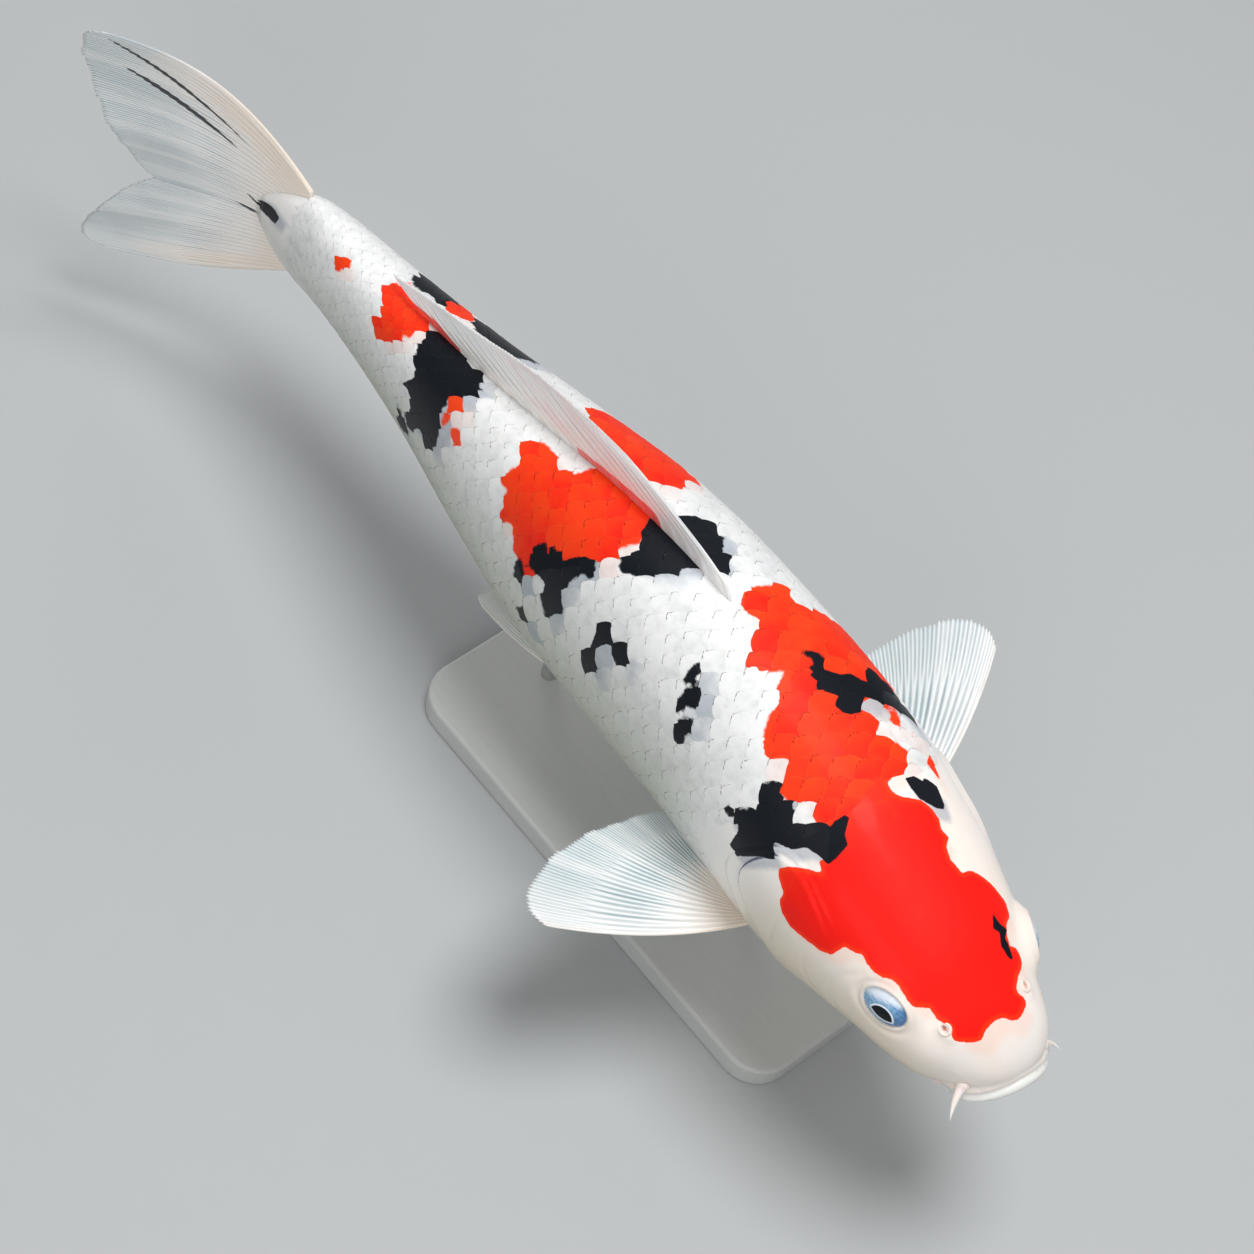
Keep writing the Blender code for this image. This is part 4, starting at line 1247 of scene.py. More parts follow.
def scale_material():
    paint = Paint("pearly_scale")
    frayed = paint.noise(300, 3, 0.6) - 0.5
    cloud = paint.noise(70, 4, 0.6)
    mottle = paint.noise(230, 3, 0.55)
    shade, free = paint.trait("shade"), paint.trait("free")
    across, along = paint.trait("across"), paint.trait("along")
    rays = paint.noise(1.0, 2, 0.6, at=paint.vector(across * 9, along * 1.5, shade * 40))
    pearl = paint.blend(cloud.above(0.34, 0.64), PEARL_SHADE, WHITE)
    pearl = paint.blend(mottle.above(0.42, 0.70) * 0.5, pearl, PEARL_BRIGHT)
    # Painted highlight: a white scale is paler within a millimetre of its free edge.
    pearl = paint.blend((1 - free.above(0.0, 1.0)) * 0.5, pearl, PEARL_HIGHLIGHT)
    pearl = paint.blend((1 - mottle.above(0.30, 0.48)) * 0.50, pearl, PEARL_GREY)
    pearl = paint.blend(shade.above(0.5, 1.0) * 0.30, pearl, PEARL_SHINE)
    # Painted highlight, growing towards the tip of each white scale.
    pearl = paint.blend(along.above(0.55, 1.0) * 0.40, pearl, PEARL_HIGHLIGHT)
    # Low on the flank the scales take the same painted olive shade and greenish reflection.
    pearl = paint.blend(paint.trait("low") * 0.75, pearl, OLIVE_SHADE)
    tone = paint.trait("shoulder") * 0.22 + shade * 0.36 + along * 0.16 + (cloud - 0.5) * 0.9
    colour, red, black = body_colour(paint, pearl, frayed, tone.above(0.10, 0.95))
    rim = 1 - free.above(0.05, 0.75 + 0.8 * (rays - 0.5))
    red_only = red * (1 - black)
    colour = paint.blend(rim * red_only * 0.42, colour, RED_RIM)
    colour = paint.blend(along.above(0.60, 0.98) * red_only * 0.30, colour, ORANGE)
    colour = paint.blend(rim * black * 0.25, colour, BLACK_RIM)
    height = rays * 0.7 + cloud * 0.4 + mottle * 0.5
    return paint.finish(
        base_color=colour,
        roughness=0.32 + 0.12 * rays + 0.10 * black + 0.24 * red,
        subsurface_weight=0.10,
        subsurface_radius=(0.004, 0.002, 0.001),
        subsurface_scale=0.25,
        coat_weight=0.30 - 0.28 * red - 0.18 * black,
        coat_roughness=0.12,
        specular_ior_level=0.16,
        normal=paint.bump(height, 0.30, 0.0005),
    )


SCALE_FINISH = scale_material()
print("finish:", SCALE_FINISH.name)


# %% The coat in five lengths
COAT_PIECES = 5


def coat():
    """The leaves as a few joined pieces, from the nape to the tail."""
    for number, anchors in enumerate(np.array_split(ANCHORS, COAT_PIECES), 1):
        points, traits = scale_leaves(anchors)
        faces = leaf_faces(len(anchors))
        doubled = {name: np.repeat(value[:, None], 2, axis=1) for name, value in traits.items()}
        made = new_piece(f"scales_{number}", points.reshape(-1, 3), faces, doubled,
                         leaf_uv(anchors), SCALE_FINISH)
        crisp(made.data, on_rim)
        print(made.name, "triangles:", 2 * len(faces))


coat()

# %% [markdown]
# ## Fins
# A fin is a web of thin skin over bony rays that fork twice on their way out. The sheet follows
# the same curves as the solids. It is folded into a closed blade with both faces, thick at the
# root and thin at the edge, and the rays are raised on both faces. Their ends stand past the web
# a little, which frays the edge.

# %% The fins' curves
FIN_BURIED = 0.005
DORSAL_ROOT = (0.420, 0.800)
DORSAL_EDGE = {0: 0.428, 0.15: 0.500, 0.5: 0.660, 0.8: 0.785, 1: 0.862}
DORSAL_HEIGHT = {
    0: 0.0010, 0.06: 0.0075, 0.15: 0.0150, 0.3: 0.0205, 0.5: 0.0245, 0.75: 0.0170, 1: 0.0060,
}
DORSAL_SWEEP = 1.1
DORSAL_FOLD = 0.30
DORSAL_BOW = 0.0012
CAUDAL_ROOT = 0.975
UPPER_LOBE = {
    "edge": {
        0: (1.206, 0.0686), 0.15: (1.205, 0.0540), 0.4: (1.188, 0.0270), 0.7: (1.163, 0.0020),
        0.88: (1.143, -0.0120), 1: (1.126, -0.0190),
    },
    "root": (0.0280, -0.0030), "bulge": 0.014,
}
LOWER_LOBE = {
    "edge": {
        0: (1.127, -0.0172), 0.12: (1.149, -0.0285), 0.45: (1.176, -0.0500), 0.8: (1.190, -0.0700),
        1: (1.180, -0.0765),
    },
    "root": (-0.0022, -0.0290), "bulge": -0.010,
}
CAUDAL_WAVE = 0.0016
ANAL_ROOT = (0.772, 0.842)
ANAL_EDGE = {
    0: (0.850, -0.0555), 0.25: (0.872, -0.0535), 0.65: (0.884, -0.0475), 1: (0.880, -0.0410),
}
ANAL_BOW = 0.004
ROOT_STEP = 1 / 7
CUP = 0.004
AS_SHAPED = {"sweep": 0, "raise": 0, "stretch": 1, "full": 0}
PECTORAL = {
    "station": 0.260, "root": (0.0405, -0.0350), "root_length": 0.026, "buried": 0.016,
    "slope": 0.17, "first": 109, "last": 187, "bow": 16,
    "length": {
        0: 0.0870, 0.08: 0.0920, 0.25: 0.0840, 0.45: 0.0710, 0.65: 0.0600, 0.85: 0.0530, 1: 0.0450,
    },
    "left": {"sweep": 3, "raise": 0.22, "stretch": 0.98, "full": 0.10},
}
PELVIC = {
    "station": 0.516, "root": (0.0180, -0.0560), "root_length": 0.020, "buried": 0.010,
    "slope": -0.16, "first": 166, "last": 200, "bow": 18,
    "length": {0: 0.0580, 0.12: 0.0635, 0.4: 0.0610, 0.7: 0.0530, 1: 0.0400},
    "left": AS_SHAPED,
}


def knotted(table, u):
    """The two values of a table of pairs at u."""
    return (smooth({knot: pair[i] for knot, pair in table.items()})(u) for i in (0, 1))


def dorsal_point(u, v):
    """A point of the half-folded dorsal fin: u from its first ray to its last, v out along a ray."""
    root = DORSAL_ROOT[0] + (DORSAL_ROOT[1] - DORSAL_ROOT[0]) * u
    tip = u + DORSAL_FOLD * (1 - u)
    station = root + (smooth(DORSAL_EDGE)(tip) - root) * v**DORSAL_SWEEP
    top = profiles(station)[1]
    rise = v ** (0.55 + 0.45 * np.clip(u / 0.4, 0, 1))
    height = top - FIN_BURIED * (1 - np.clip(v / 0.12, 0, 1)) + smooth(DORSAL_HEIGHT)(tip) * rise
    return place(station, lean_at(station, top) - DORSAL_BOW * np.sin(math.pi * v), height)


def caudal_point(u, v, edge, root, bulge):
    """A point of a tail lobe, u from its upper ray to its lower ray, with its corner rounded."""
    station, height = knotted(edge, u)
    start = root[0] + (root[1] - root[0]) * u
    outer = 1 - u if bulge > 0 else u
    bow = bulge * outer**1.5 * np.sin(math.pi * v)
    wave = CAUDAL_WAVE * np.sin(2.6 * math.pi * (u + (bulge < 0))) * v * v
    station = station - 0.010 * bell(1 - outer, 0.035) - 0.012 * bell(1 - outer, 0.010)
    return place(CAUDAL_ROOT + (station - CAUDAL_ROOT) * v, wave, start + (height - start) * v + bow)


def paired_point(u, v, fin, left):
    """A point of a paired fin, from under the skin to the tip."""
    out, height = fin["root"]
    own = fin["left"] if left > 0 else AS_SHAPED
    w = np.maximum(v, ROOT_STEP)
    first = fin["first"] + own["sweep"] - fin["bow"] * (1 - w) * (1 - u)
    polar = np.radians(first + (fin["last"] - fin["first"]) * u)
    length = smooth(fin["length"])(u) * (own["stretch"] + own["full"] * np.sin(math.pi * u))
    reach = length * (w - ROOT_STEP) / (1 - ROOT_STEP)
    ahead = fin["root_length"] * (0.5 - u) * (1 - w) + reach * np.cos(polar)
    across = reach * np.sin(polar)
    lift = (fin["slope"] + own["raise"]) * across - CUP * np.sin(math.pi * u) * w
    buried = np.clip(1 - v / ROOT_STEP, 0, 1)
    ahead = ahead + buried * (fin["root_length"] * (0.5 - u) - ahead)
    across = across + buried * (-fin["buried"] - across)
    lift = lift * (1 - buried)
    root = place(fin["station"], left * (out + across), height + lift)
    forward = unit(place(fin["station"] - 0.01, 0, 0) - place(fin["station"] + 0.01, 0, 0))
    return root + ahead[..., None] * forward


def anal_point(u, v):
    """A point of the anal fin, folded close under the keel."""
    root = ANAL_ROOT[0] + (ANAL_ROOT[1] - ANAL_ROOT[0]) * u
    station, height = knotted(ANAL_EDGE, u)
    start = profiles(root)[2] + FIN_BURIED
    bow = -ANAL_BOW * np.sin(math.pi * v) * (1 - u)
    return place(root + (station - root) * v, 0.0, start + (height - start) * v + bow)


print("right pectoral tip:", paired_point(np.array([0.08]), np.array([1.0]), PECTORAL, -1).round(3)[0])


# %% Rays and blades
def ray_pattern(u, v, rays, forks=(0.30, 0.62)):
    """1 on a ray's crest and 0 on the web, with each ray forking twice."""
    x = np.abs((u * rays) % 1.0 - 0.5)
    first = 0.25 * eased(forks[0], forks[0] + 0.25, v)
    second = 0.125 * eased(forks[1], forks[1] + 0.22, v)
    x = np.abs(np.abs(x - first) - second)
    wide = 0.26 - 0.12 * eased(*forks, v) - 0.07 * eased(forks[1], 0.95, v)
    return 1 - eased(0.35 * wide, 1.15 * wide, x)


def blade(name, point, rays, steps, traits, thick=(0.0015, 0.00042), relief=0.00020, ripple=0.0006,
          fray=0.012, columns=12, forks=(0.30, 0.62), phase=0.0, **shape):
    """A closed fin blade with rays raised on both faces."""
    u, v = np.meshgrid(np.linspace(0, 1, rays * columns + 1), np.linspace(0, 1, steps))
    rank = np.floor(np.clip(u * rays, 0, rays - 0.001)).astype(int)
    dice = np.random.default_rng(rays + int(phase * 10))
    uneven = dice.uniform(-1, 1, rays + 1)[rank]
    pattern = ray_pattern(u, v, rays, forks)
    tips = 1 - fray * (1 - ray_pattern(u, np.ones_like(u), rays, forks)) - 0.5 * fray * (1 + uneven)
    middle = point(u, v * tips, **shape)
    normal = unit(np.cross(np.gradient(middle, axis=1), np.gradient(middle, axis=0)))
    sway = np.sin(2 * math.pi * (2.3 * u + 0.25 * v + phase)) * np.sin(math.pi * u) ** 0.5
    middle = middle + normal * (ripple * v**2 * sway)[..., None]
    margin = np.minimum(np.minimum(u, 1 - u) * rays / 0.5, 1)
    web = (thick[1] + (thick[0] - thick[1]) * (1 - v) ** 1.4) / 2 * (0.45 + 0.55 * np.sqrt(margin))
    crest = relief * pattern * (0.25 + 0.75 * eased(0.10, 0.45, v)) * (1 - 0.4 * v)
    half = normal * (web + crest)[..., None]
    points = np.concatenate([(middle + half).reshape(-1, 3), (middle - half).reshape(-1, 3)])
    faces = folded_faces(*u.shape)
    flat = [np.stack([left + 0.47 * u, 0.02 + 0.96 * v], -1).reshape(-1, 2) for left in (0.01, 0.52)]
    uv = np.concatenate(flat)[faces].reshape(-1, 2)
    # Painted shade in the web between the rays, deeper on some, over the middle of the fan.
    between = bell(0.5 - np.abs((u * rays) % 1.0 - 0.5), 0.13)
    depth = dice.uniform(0.1, 1, rays + 1)[np.clip(np.round(u * rays).astype(int), 0, rays)]
    shade_between_rays = between * depth * eased(0.22, 0.50, v) * (1 - eased(0.72, 0.98, v))
    values = {"ray": pattern, "u": u, "v": v, "uneven": uneven, "shade_between_rays": shade_between_rays}
    values.update({key: trait(u, v) for key, trait in traits.items()})
    doubled = {key: np.tile(value.ravel(), 2) for key, value in values.items()}
    return new_piece(name, points, faces, doubled, uv, FIN_FINISH, [name])


print("crest and web at the root:", ray_pattern(np.array([0.5, 0.0]), np.zeros(2), 1))

# %% [markdown]
# ### The finish of the fins
# The web is translucent, the rays are milky, and blood under the root makes it peach. Where the
# web is thin, and most between the rays, a bluish slate is painted shade, as if a dark ground
# showed through it. The dorsal fin carries a red streak at its root and another at its rear. The
# tail has two black streaks along its rays and a forked black spot at its root. All are cut from
# the fan's own coordinates.

# %% Fin finish
# The slate colours are painted shade, as if a dark ground showed through the thin web.
WEB, WEB_SHADE, WEB_GAP_SHADE, WEB_PEACH = (
    (0.86, 0.855, 0.85), (0.38, 0.48, 0.52), (0.24, 0.33, 0.38), (0.92, 0.76, 0.64),
)
BONE, BONE_SHADE, BONE_PEACH = (0.92, 0.915, 0.90), (0.62, 0.70, 0.73), (0.94, 0.83, 0.74)
FIN_MILK = (0.92, 0.91, 0.89)
FIN_RED = (0.88, 0.04, 0.02)
FIN_PINK = (0.93, 0.55, 0.56)
FIN_BLACK = (0.012, 0.016, 0.024)


def fin_material():
    paint = Paint("rayed_fin")
    u, v, ray = paint.trait("u"), paint.trait("v"), paint.trait("ray")
    flush, uneven = paint.trait("flush"), paint.trait("uneven")
    streak = paint.noise(1.0, 4, 0.6, at=paint.vector(u * 90, v * 5, 0.0))
    wide = paint.noise(1.0, 3, 0.5, at=paint.vector(u * 14, v * 2, 4.0))
    cloud = paint.noise(40, 3, 0.5)
    # Painted shade: the thin web turns slate further out and between the rays.
    slate = paint.trait("slate") * (0.85 + 0.25 * uneven)
    slate = (slate + (streak - 0.5) * 0.7 + (wide - 0.5) * 0.5).above(0.05, 1.0)
    web = paint.blend(slate, WEB, WEB_SHADE)
    web = paint.blend(paint.trait("shade_between_rays") * 0.75, web, WEB_GAP_SHADE)
    web = paint.blend(flush, web, WEB_PEACH)
    bone = paint.blend(slate * 0.35, BONE, BONE_SHADE)
    bone = paint.blend(flush * 0.7, bone, BONE_PEACH)
    colour = paint.blend(ray * 0.85, web, bone)
    colour = paint.blend(cloud.above(0.4, 0.8) * 0.2, colour, FIN_MILK)
    red = (paint.trait("red") + (streak - 0.5) * 0.5).above(0.35, 0.65)
    colour = paint.blend(red * 0.9, colour, FIN_RED)
    pink = paint.trait("pink") * (streak * 0.5 + wide * 0.5).above(0.40, 0.60)
    colour = paint.blend(pink * 0.38, colour, FIN_PINK)
    black = (paint.trait("black") + (streak - 0.5) * 0.3).above(0.35, 0.65)
    colour = paint.blend(black * 0.95, colour, FIN_BLACK)
    joints = paint.noise(1.0, 1, 0.5, at=paint.vector(u * 60, v * 70, 1.0))
    return paint.finish(
        base_color=colour,
        roughness=0.34 + 0.15 * streak,
        alpha=0.93 + 0.07 * ray,
        subsurface_weight=0.50,
        subsurface_radius=(0.004, 0.0034, 0.003),
        subsurface_scale=0.8,
        coat_weight=0.20,
        coat_roughness=0.15,
        specular_ior_level=0.35,
        normal=paint.bump(ray * 0.8 + joints * 0.12 + streak * 0.25, 0.25, 0.0004),
    )


FIN_FINISH = fin_material()
print("finish:", FIN_FINISH.name)


# %% Tints over the fans
def none(u, v):
    return 0 * u


def band(low, high, soft):
    """A trait that is 1 between two values and fades over the soft width outside them."""
    return lambda x: eased(low - soft, low, x) * (1 - eased(high, high + soft, x))


def paired_traits(warm=0.8, dark=1.0):
    """Peach at the root and along the first ray, painted slate shade further out."""
    return {
        "flush": lambda u, v: (1 - eased(0.18, 0.55, v)) * warm + 0.5 * (1 - eased(0.0, 0.05, u)),
        "slate": lambda u, v: eased(0.25, 0.60, v) * (0.35 + 0.65 * eased(0.04, 0.15, u)) * dark,
        "red": none, "pink": none, "black": none,
    }


def dorsal_traits():
    """Red low in the front half and up the last rays, pink over the front half."""
    front, rear = band(0.25, 0.46, 0.06), band(0.90, 1.0, 0.03)
    return {
        "flush": lambda u, v: 0.30 * (1 - eased(0.2, 0.9, v)) * band(0.30, 0.80, 0.2)(u),
        # A little painted slate shade on the dorsal fin's rear rays.
        "slate": lambda u, v: 0.10 + 0.22 * eased(0.45, 0.9, u) * eased(0.2, 0.8, v),
        "red": lambda u, v: front(u) * (1 - eased(0.10, 0.20, v)) + rear(u) * (1 - eased(0.3, 0.8, v)),
        "pink": lambda u, v: band(0.14, 0.50, 0.10)(u),
        "black": none,
    }


def tapered(u, v, line, reach, half_width):
    """A streak along a sloping line of the fan, thickest in its middle."""
    along = np.clip((v - reach[0]) / (reach[1] - reach[0]), 0, 1)
    thick = half_width * np.sin(math.pi * along) ** 0.6
    return np.clip(0.5 + (thick - np.abs(u - line[0] + line[1] * v)) / 0.008, 0, 1) * (thick > 0)


TAIL_BLACK = [
    ((0.372, 0.36), (0.30, 0.92), 0.0115),
    ((0.490, 0.355), (0.36, 0.84), 0.0165),
    ((1.072, 0.286), (0.20, 0.46), 0.022),
    ((1.175, 1.110), (0.20, 0.36), 0.020),
]


def tail_traits(upper):
    """Peach at the root and along the outer edge, painted slate shade behind, black on the upper lobe.
    """
    def streaks(u, v):
        return np.max([tapered(u, v, *streak) for streak in TAIL_BLACK], axis=0)

    def flush(u, v):
        edge = u if upper else 1 - u
        along_edge = 0.7 * (1 - eased(0.05, 0.30, edge)) * (1 - eased(0.5, 0.9, v))
        return np.clip((1 - eased(0.10, 0.55, v)) * 0.7 + along_edge, 0, 0.9)

    return {
        "flush": flush,
        "slate": lambda u, v: eased(0.20, 0.85, v) * 0.95,
        "red": none, "pink": none,
        "black": streaks if upper else none,
    }


def fins():
    tail = {"relief": 0.00014, "thick": (0.0022, 0.0005), "forks": (0.18, 0.42), "columns": 14,
            "fray": 0.014}
    blade("dorsal_fin", dorsal_point, 20, 40, dorsal_traits(), ripple=0.0003,
          thick=(0.0018, 0.0005), forks=(0.45, 0.8))
    blade("anal_fin", anal_point, 9, 30, paired_traits(), ripple=0.0002)
    blade("caudal_fin_upper", caudal_point, 19, 90, tail_traits(True), phase=0.2, **tail, **UPPER_LOBE)
    blade("caudal_fin_lower", caudal_point, 15, 80, tail_traits(False), phase=0.5, **tail, **LOWER_LOBE)
    for side, sign in SIDES.items():
        left = -sign
        blade(f"pectoral_fin_{side}", paired_point, 17, 80, paired_traits(), columns=14,
              phase=0.1 * left, fin=PECTORAL, left=left)
        blade(f"pelvic_fin_{side}", paired_point, 10, 50, paired_traits(0.2, 0.35),
              phase=0.3 * left, fin=PELVIC, left=left)


fins()
print("fins replace their plain plates")

# %% [markdown]
# ## Eyes
# A fish's eye has no lid. It is a clear dome, almost flush with a round rim of skin, over a pale
# blue iris whose upper part is silvery, partly its own silver and partly a painted reflection of
# the sky. The pupil sits low, because the fish looks down, and it is cut off along its lower side.
# A thin white ring rounds it. A dome of rings and spokes carries its own flat coordinates in
# millimetres, and the material draws in them.

# %% Eye finish
PUPIL = {"ahead": 0.7, "up": -3.7, "radius": 5.1, "floor": -4.6}
IRIS, IRIS_PALE, IRIS_DEEP = (0.11, 0.30, 0.54), (0.30, 0.52, 0.72), (0.03, 0.12, 0.33)
# The iris's own silver, partly a painted reflection of the sky.
SILVER_AND_SKY = (0.78, 0.83, 0.90)
RING_WHITE = (0.86, 0.91, 0.97)
PUPIL_BLACK = (0.002, 0.004, 0.006)
EYE_MARGIN = (0.72, 0.72, 0.74)


def eye_material():
    paint = Paint("wet_eye")
    p, q = paint.trait("ahead"), paint.trait("up")
    r = paint.trait("out_from_centre")
    from_pupil = p - PUPIL["ahead"]
    circle = (from_pupil**2 + (q - PUPIL["up"]) ** 2) ** 0.5 - PUPIL["radius"]
    chord = PUPIL["floor"] + 0.05 * from_pupil**2 - q
    outside = circle.or_greater(chord)
    streaks = paint.noise(1.0, 4, 0.65, at=paint.vector(p * 0.22, q * 0.9, 0.0))
    specks = paint.noise(1.0, 3, 0.7, at=paint.vector(p * 0.8, q * 0.8, 3.0))
    # The upper iris: its own silver and, over it, a painted reflection of the sky.
    silver_and_sky = (q + p * -0.35 + (streaks - 0.5) * 7.0).above(2.0, 6.0)
    deep = (p * 0.8 - q * 0.35 + (streaks - 0.5) * 14.0).above(0.0, 8.0)
    iris = paint.blend(specks.above(0.35, 0.7), IRIS, IRIS_PALE)
    iris = paint.blend(deep * 0.75, iris, IRIS_DEEP)
    iris = paint.blend(silver_and_sky * 0.9, iris, SILVER_AND_SKY)
    ring = 1 - abs(outside - 0.45).above(0.22, 0.50)
    colour = paint.blend(ring, iris, RING_WHITE)
    dark = 1 - outside.above(-0.20, 0.15)
    colour = paint.blend(dark, colour, PUPIL_BLACK)
    colour = paint.blend(r.above(9.8, 10.5) * 0.85, colour, EYE_MARGIN)
    return paint.finish(
        base_color=colour,
        roughness=0.25 + 0.4 * dark,
        coat_weight=0.55 - 0.50 * dark,
        coat_roughness=0.03,
        specular_ior_level=0.22,
        normal=paint.bump(streaks * 0.4 + specks * 0.3, 0.10, 0.0003),
    )


EYE_FINISH = eye_material()
print("finish:", EYE_FINISH.name)


# %% Eye domes
EYE_RINGS, EYE_SPOKES, BOWL_RINGS = 26, 72, 7


def eye(name, sign):
    """A dome over a shallow bowl, as one closed shell."""
    centre, ahead, up, out = eye_frame(sign)
    radius = EYE_PLACE["radius"]
    t = np.concatenate([np.linspace(0.02, 1, EYE_RINGS), np.linspace(0.97, 0.05, BOWL_RINGS)])
    rise = EYE_PLACE["rise"] * (1 - t**2) ** 0.85
    rise[EYE_RINGS:] = -EYE_PLACE["bowl"] * np.sqrt(1 - t[EYE_RINGS:] ** 2)
    turn = np.linspace(0, math.tau, EYE_SPOKES, endpoint=False)
    p = radius * t[:, None] * np.cos(turn)
    q = EYE_PLACE["upright"] * radius * t[:, None] * np.sin(turn)
    n = rise[:, None] - EYE_PLACE["sink"] + 0 * p
    points = centre + p[..., None] * ahead + q[..., None] * up + n[..., None] * out
    faces = quads(len(t), EYE_SPOKES, rolled=True)
    if sign > 0:
        faces = faces[:, ::-1]
    flat = np.stack([0.25 + 0.235 * p / radius, 0.5 + 0.47 * q / radius], -1)
    flat[EYE_RINGS:, :, 0] += 0.5
    uv = flat.reshape(-1, 2)[faces].reshape(-1, 2)
    traits = {"ahead": p / MM, "up": q / MM, "out_from_centre": radius * t[:, None] / MM + 0 * p}
    return new_piece(name, points.reshape(-1, 3), faces, traits, uv, EYE_FINISH, [name])


for side, sign in SIDES.items():
    print("eye dome:", eye(f"eye_{side}", sign).name)

# %% [markdown]
# ## Nostril rims and barbels
# Each nostril opens inside a pink, fleshy ring with a flap in front of it. The barbels grow from
# a fold beside the lip: thick at the root, drawn out to a point, and bent. Both are tubes whose
# thickness changes along them, with an even skin of rings.

# %% Fleshy finish
FLESH, FLESH_PINK, FLESH_PALE = (0.88, 0.76, 0.70), (0.86, 0.68, 0.62), (0.78, 0.80, 0.79)


def fleshy_material():
    paint = Paint("pale_flesh")
    cloud = paint.noise(300, 3, 0.6)
    colour = paint.blend(cloud, FLESH, FLESH_PINK)
    colour = paint.blend(paint.trait("pale"), colour, FLESH_PALE)
    return paint.finish(
        base_color=colour,
        roughness=0.26 + 0.1 * cloud,
        subsurface_weight=0.3,
        subsurface_radius=(0.006, 0.002, 0.001),
        subsurface_scale=0.4,
        coat_weight=0.5,
        coat_roughness=0.1,
        normal=paint.bump(cloud, 0.2, 0.0003),
    )


FLESH_FINISH = fleshy_material()
print("finish:", FLESH_FINISH.name)

# %% Tubes
CLEAR_OF_TUBES = np.array([0.13, 0.31, 0.94])


def tube(name, path, radii, around, pale=0.0, wave=0.0):
    """A fleshy tube along a path, with closed ends, as rings that follow it."""
    tangent = unit(np.gradient(path, axis=0))
    across = unit(np.cross(tangent, CLEAR_OF_TUBES))
    over = np.cross(across, tangent)
    turn = np.linspace(0, math.tau, around, endpoint=False)
    ring = np.cos(turn)[:, None] * across[:, None] + np.sin(turn)[:, None] * over[:, None]
    rough = 1 + wave * np.sin(np.arange(len(path)) * 2.1)[:, None] * np.cos(turn * 2)
    points = path[:, None] + ring * (radii[:, None] * rough)[..., None]
    points = np.concatenate([points.reshape(-1, 3), path[[0, -1]]])
    faces = np.concatenate([quads(len(path), around, rolled=True), end_caps(len(path), around)])
    uv = np.concatenate([
        rolled_uv(len(path), around, (0.02, 0.02), (0.98, 0.98)), np.full((around, 4, 2), 0.005),
    ])
    along = np.append(np.repeat(np.linspace(0, 1, len(path)), around), [0, 1])
    traits = {"pale": pale * along}
    return new_piece(name, points, faces, traits, uv, FLESH_FINISH, [name])


print("tube helper ready")

# %% Nostrils
NOSTRIL_RING, NOSTRIL_WALL = 0.0022, 0.0007
NOSTRIL_SINK, NOSTRIL_FLAP = 0.0001, 0.0003


def nostril(side, sign):
    """An oval ring round a nostril, its front raised into a flap."""
    station, degrees = NOSTRIL_PLACE["station"], NOSTRIL_PLACE["degrees"][sign]
    centre, normal = surface(station, degrees), outward(station, degrees)
    ahead = unit(np.array([1.0, -0.1, 0]) - normal * normal[0])
    beside = np.cross(normal, ahead)
    turn = np.linspace(0, math.tau, 41)
    oval = 1.12 * np.cos(turn)[:, None] * ahead + np.sin(turn)[:, None] * beside
    lift = NOSTRIL_FLAP * np.clip(np.cos(turn), 0, 1) - NOSTRIL_SINK
    path = centre + NOSTRIL_RING * oval + lift[:, None] * normal
    wall = NOSTRIL_WALL * (1 + 0.25 * np.cos(turn))
    return tube(f"nostril_{side}", path, wall, 16)


for side, sign in SIDES.items():
    print("nostril ring:", nostril(side, sign).name)

# %% Barbels
BARBELS = {
    "front_right": {
        "station": 0.0186, "degrees": 105.0, "reach": (0.0076, -0.0113, -0.0060), "bend": 0.06,
        "radius": 0.0021,
    },
    "front_left": {
        "station": 0.0158, "degrees": -105.0, "reach": (0.0054, 0.0078, -0.0060), "bend": -0.20,
        "radius": 0.0018,
    },
    "rear_right": {
        "station": 0.0400, "degrees": 146.0, "reach": (-0.0080, 0.0015, -0.0150), "bend": 0.10,
        "radius": 0.0021,
    },
    "rear_left": {
        "station": 0.0400, "degrees": -146.0, "reach": (-0.0080, -0.0015, -0.0150), "bend": -0.10,
        "radius": 0.0021,
    },
}
BARBEL_TIP = 0.00012


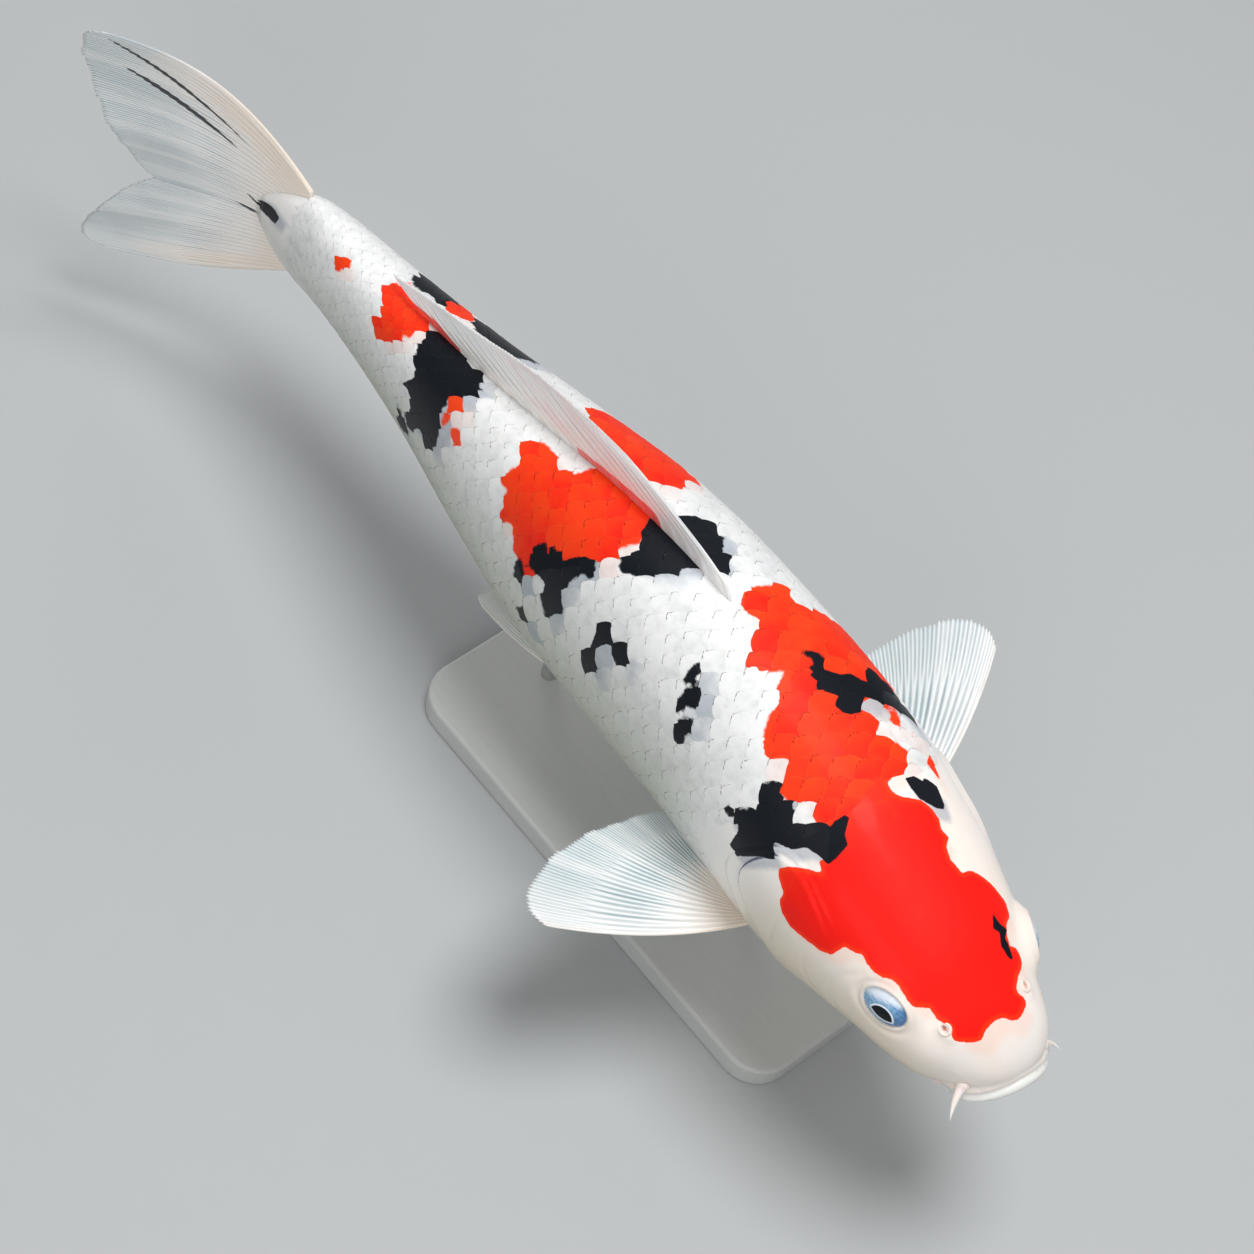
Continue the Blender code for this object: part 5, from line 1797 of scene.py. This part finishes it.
def barbel(name, look):
    """A feeler from its fleshy root in the skin to a fine, bent tip."""
    base = surface(look["station"], look["degrees"])
    reach = np.array(look["reach"])
    sideways = np.cross(reach, [0, 0, 1.0])
    t = np.linspace(-0.20, 1, 44)
    s = np.clip(t, 0, 1)
    bend = look["bend"] * np.sin(s * math.pi * 0.9)
    path = base + t[:, None] * reach + bend[:, None] * sideways
    taper = 0.85 * (1 - s) ** 1.3 + 0.28 * (1 - s**5)
    radii = np.maximum(look["radius"] * taper * (1 + 0.35 * bell(s, 0.10)), BARBEL_TIP)
    return tube(f"barbel_{name}", path, radii, 20, pale=0.9, wave=0.02)


for name, look in BARBELS.items():
    print("barbel:", barbel(name, look).name)

# %% [markdown]
# ## The stand
# The display stand is plain on purpose: a painted board with an eased rim and two satin steel
# rods. Its solids already have the right shape, so they only get finishes: brushed paint with a
# little orange peel, and steel drawn along the rod.

# %% Stand finishes
BOARD_GREY, BOARD_PALE = (0.50, 0.51, 0.50), (0.57, 0.575, 0.56)
STEEL_GREY, STEEL_BRIGHT = (0.55, 0.56, 0.57), (0.70, 0.70, 0.69)


def board_material():
    paint = Paint("painted_board")
    peel = paint.noise(900, 2, 0.5)
    brush = paint.noise(1.0, 4, 0.6, at=paint.stretched(40, 700, 300))
    return paint.finish(
        base_color=paint.blend(brush, BOARD_GREY, BOARD_PALE),
        roughness=0.42 + 0.15 * brush,
        coat_weight=0.15,
        normal=paint.bump(brush * 0.6 + peel * 0.4, 0.25, 0.0003),
    )


def steel_material():
    paint = Paint("satin_steel")
    drawn = paint.noise(1.0, 3, 0.6, at=paint.stretched(2500, 2500, 30))
    return paint.finish(
        base_color=paint.blend(drawn, STEEL_GREY, STEEL_BRIGHT),
        metallic=1.0,
        roughness=0.22 + 0.18 * drawn,
        normal=paint.bump(drawn, 0.15, 0.0002),
    )


def dress(material, *nodes):
    for node in nodes:
        for slot in bpy.data.objects[node].material_slots:
            slot.material = material


dress(board_material(), "stand_base")
dress(steel_material(), "stand_rod_front", "stand_rod_rear")
print("stand dressed")
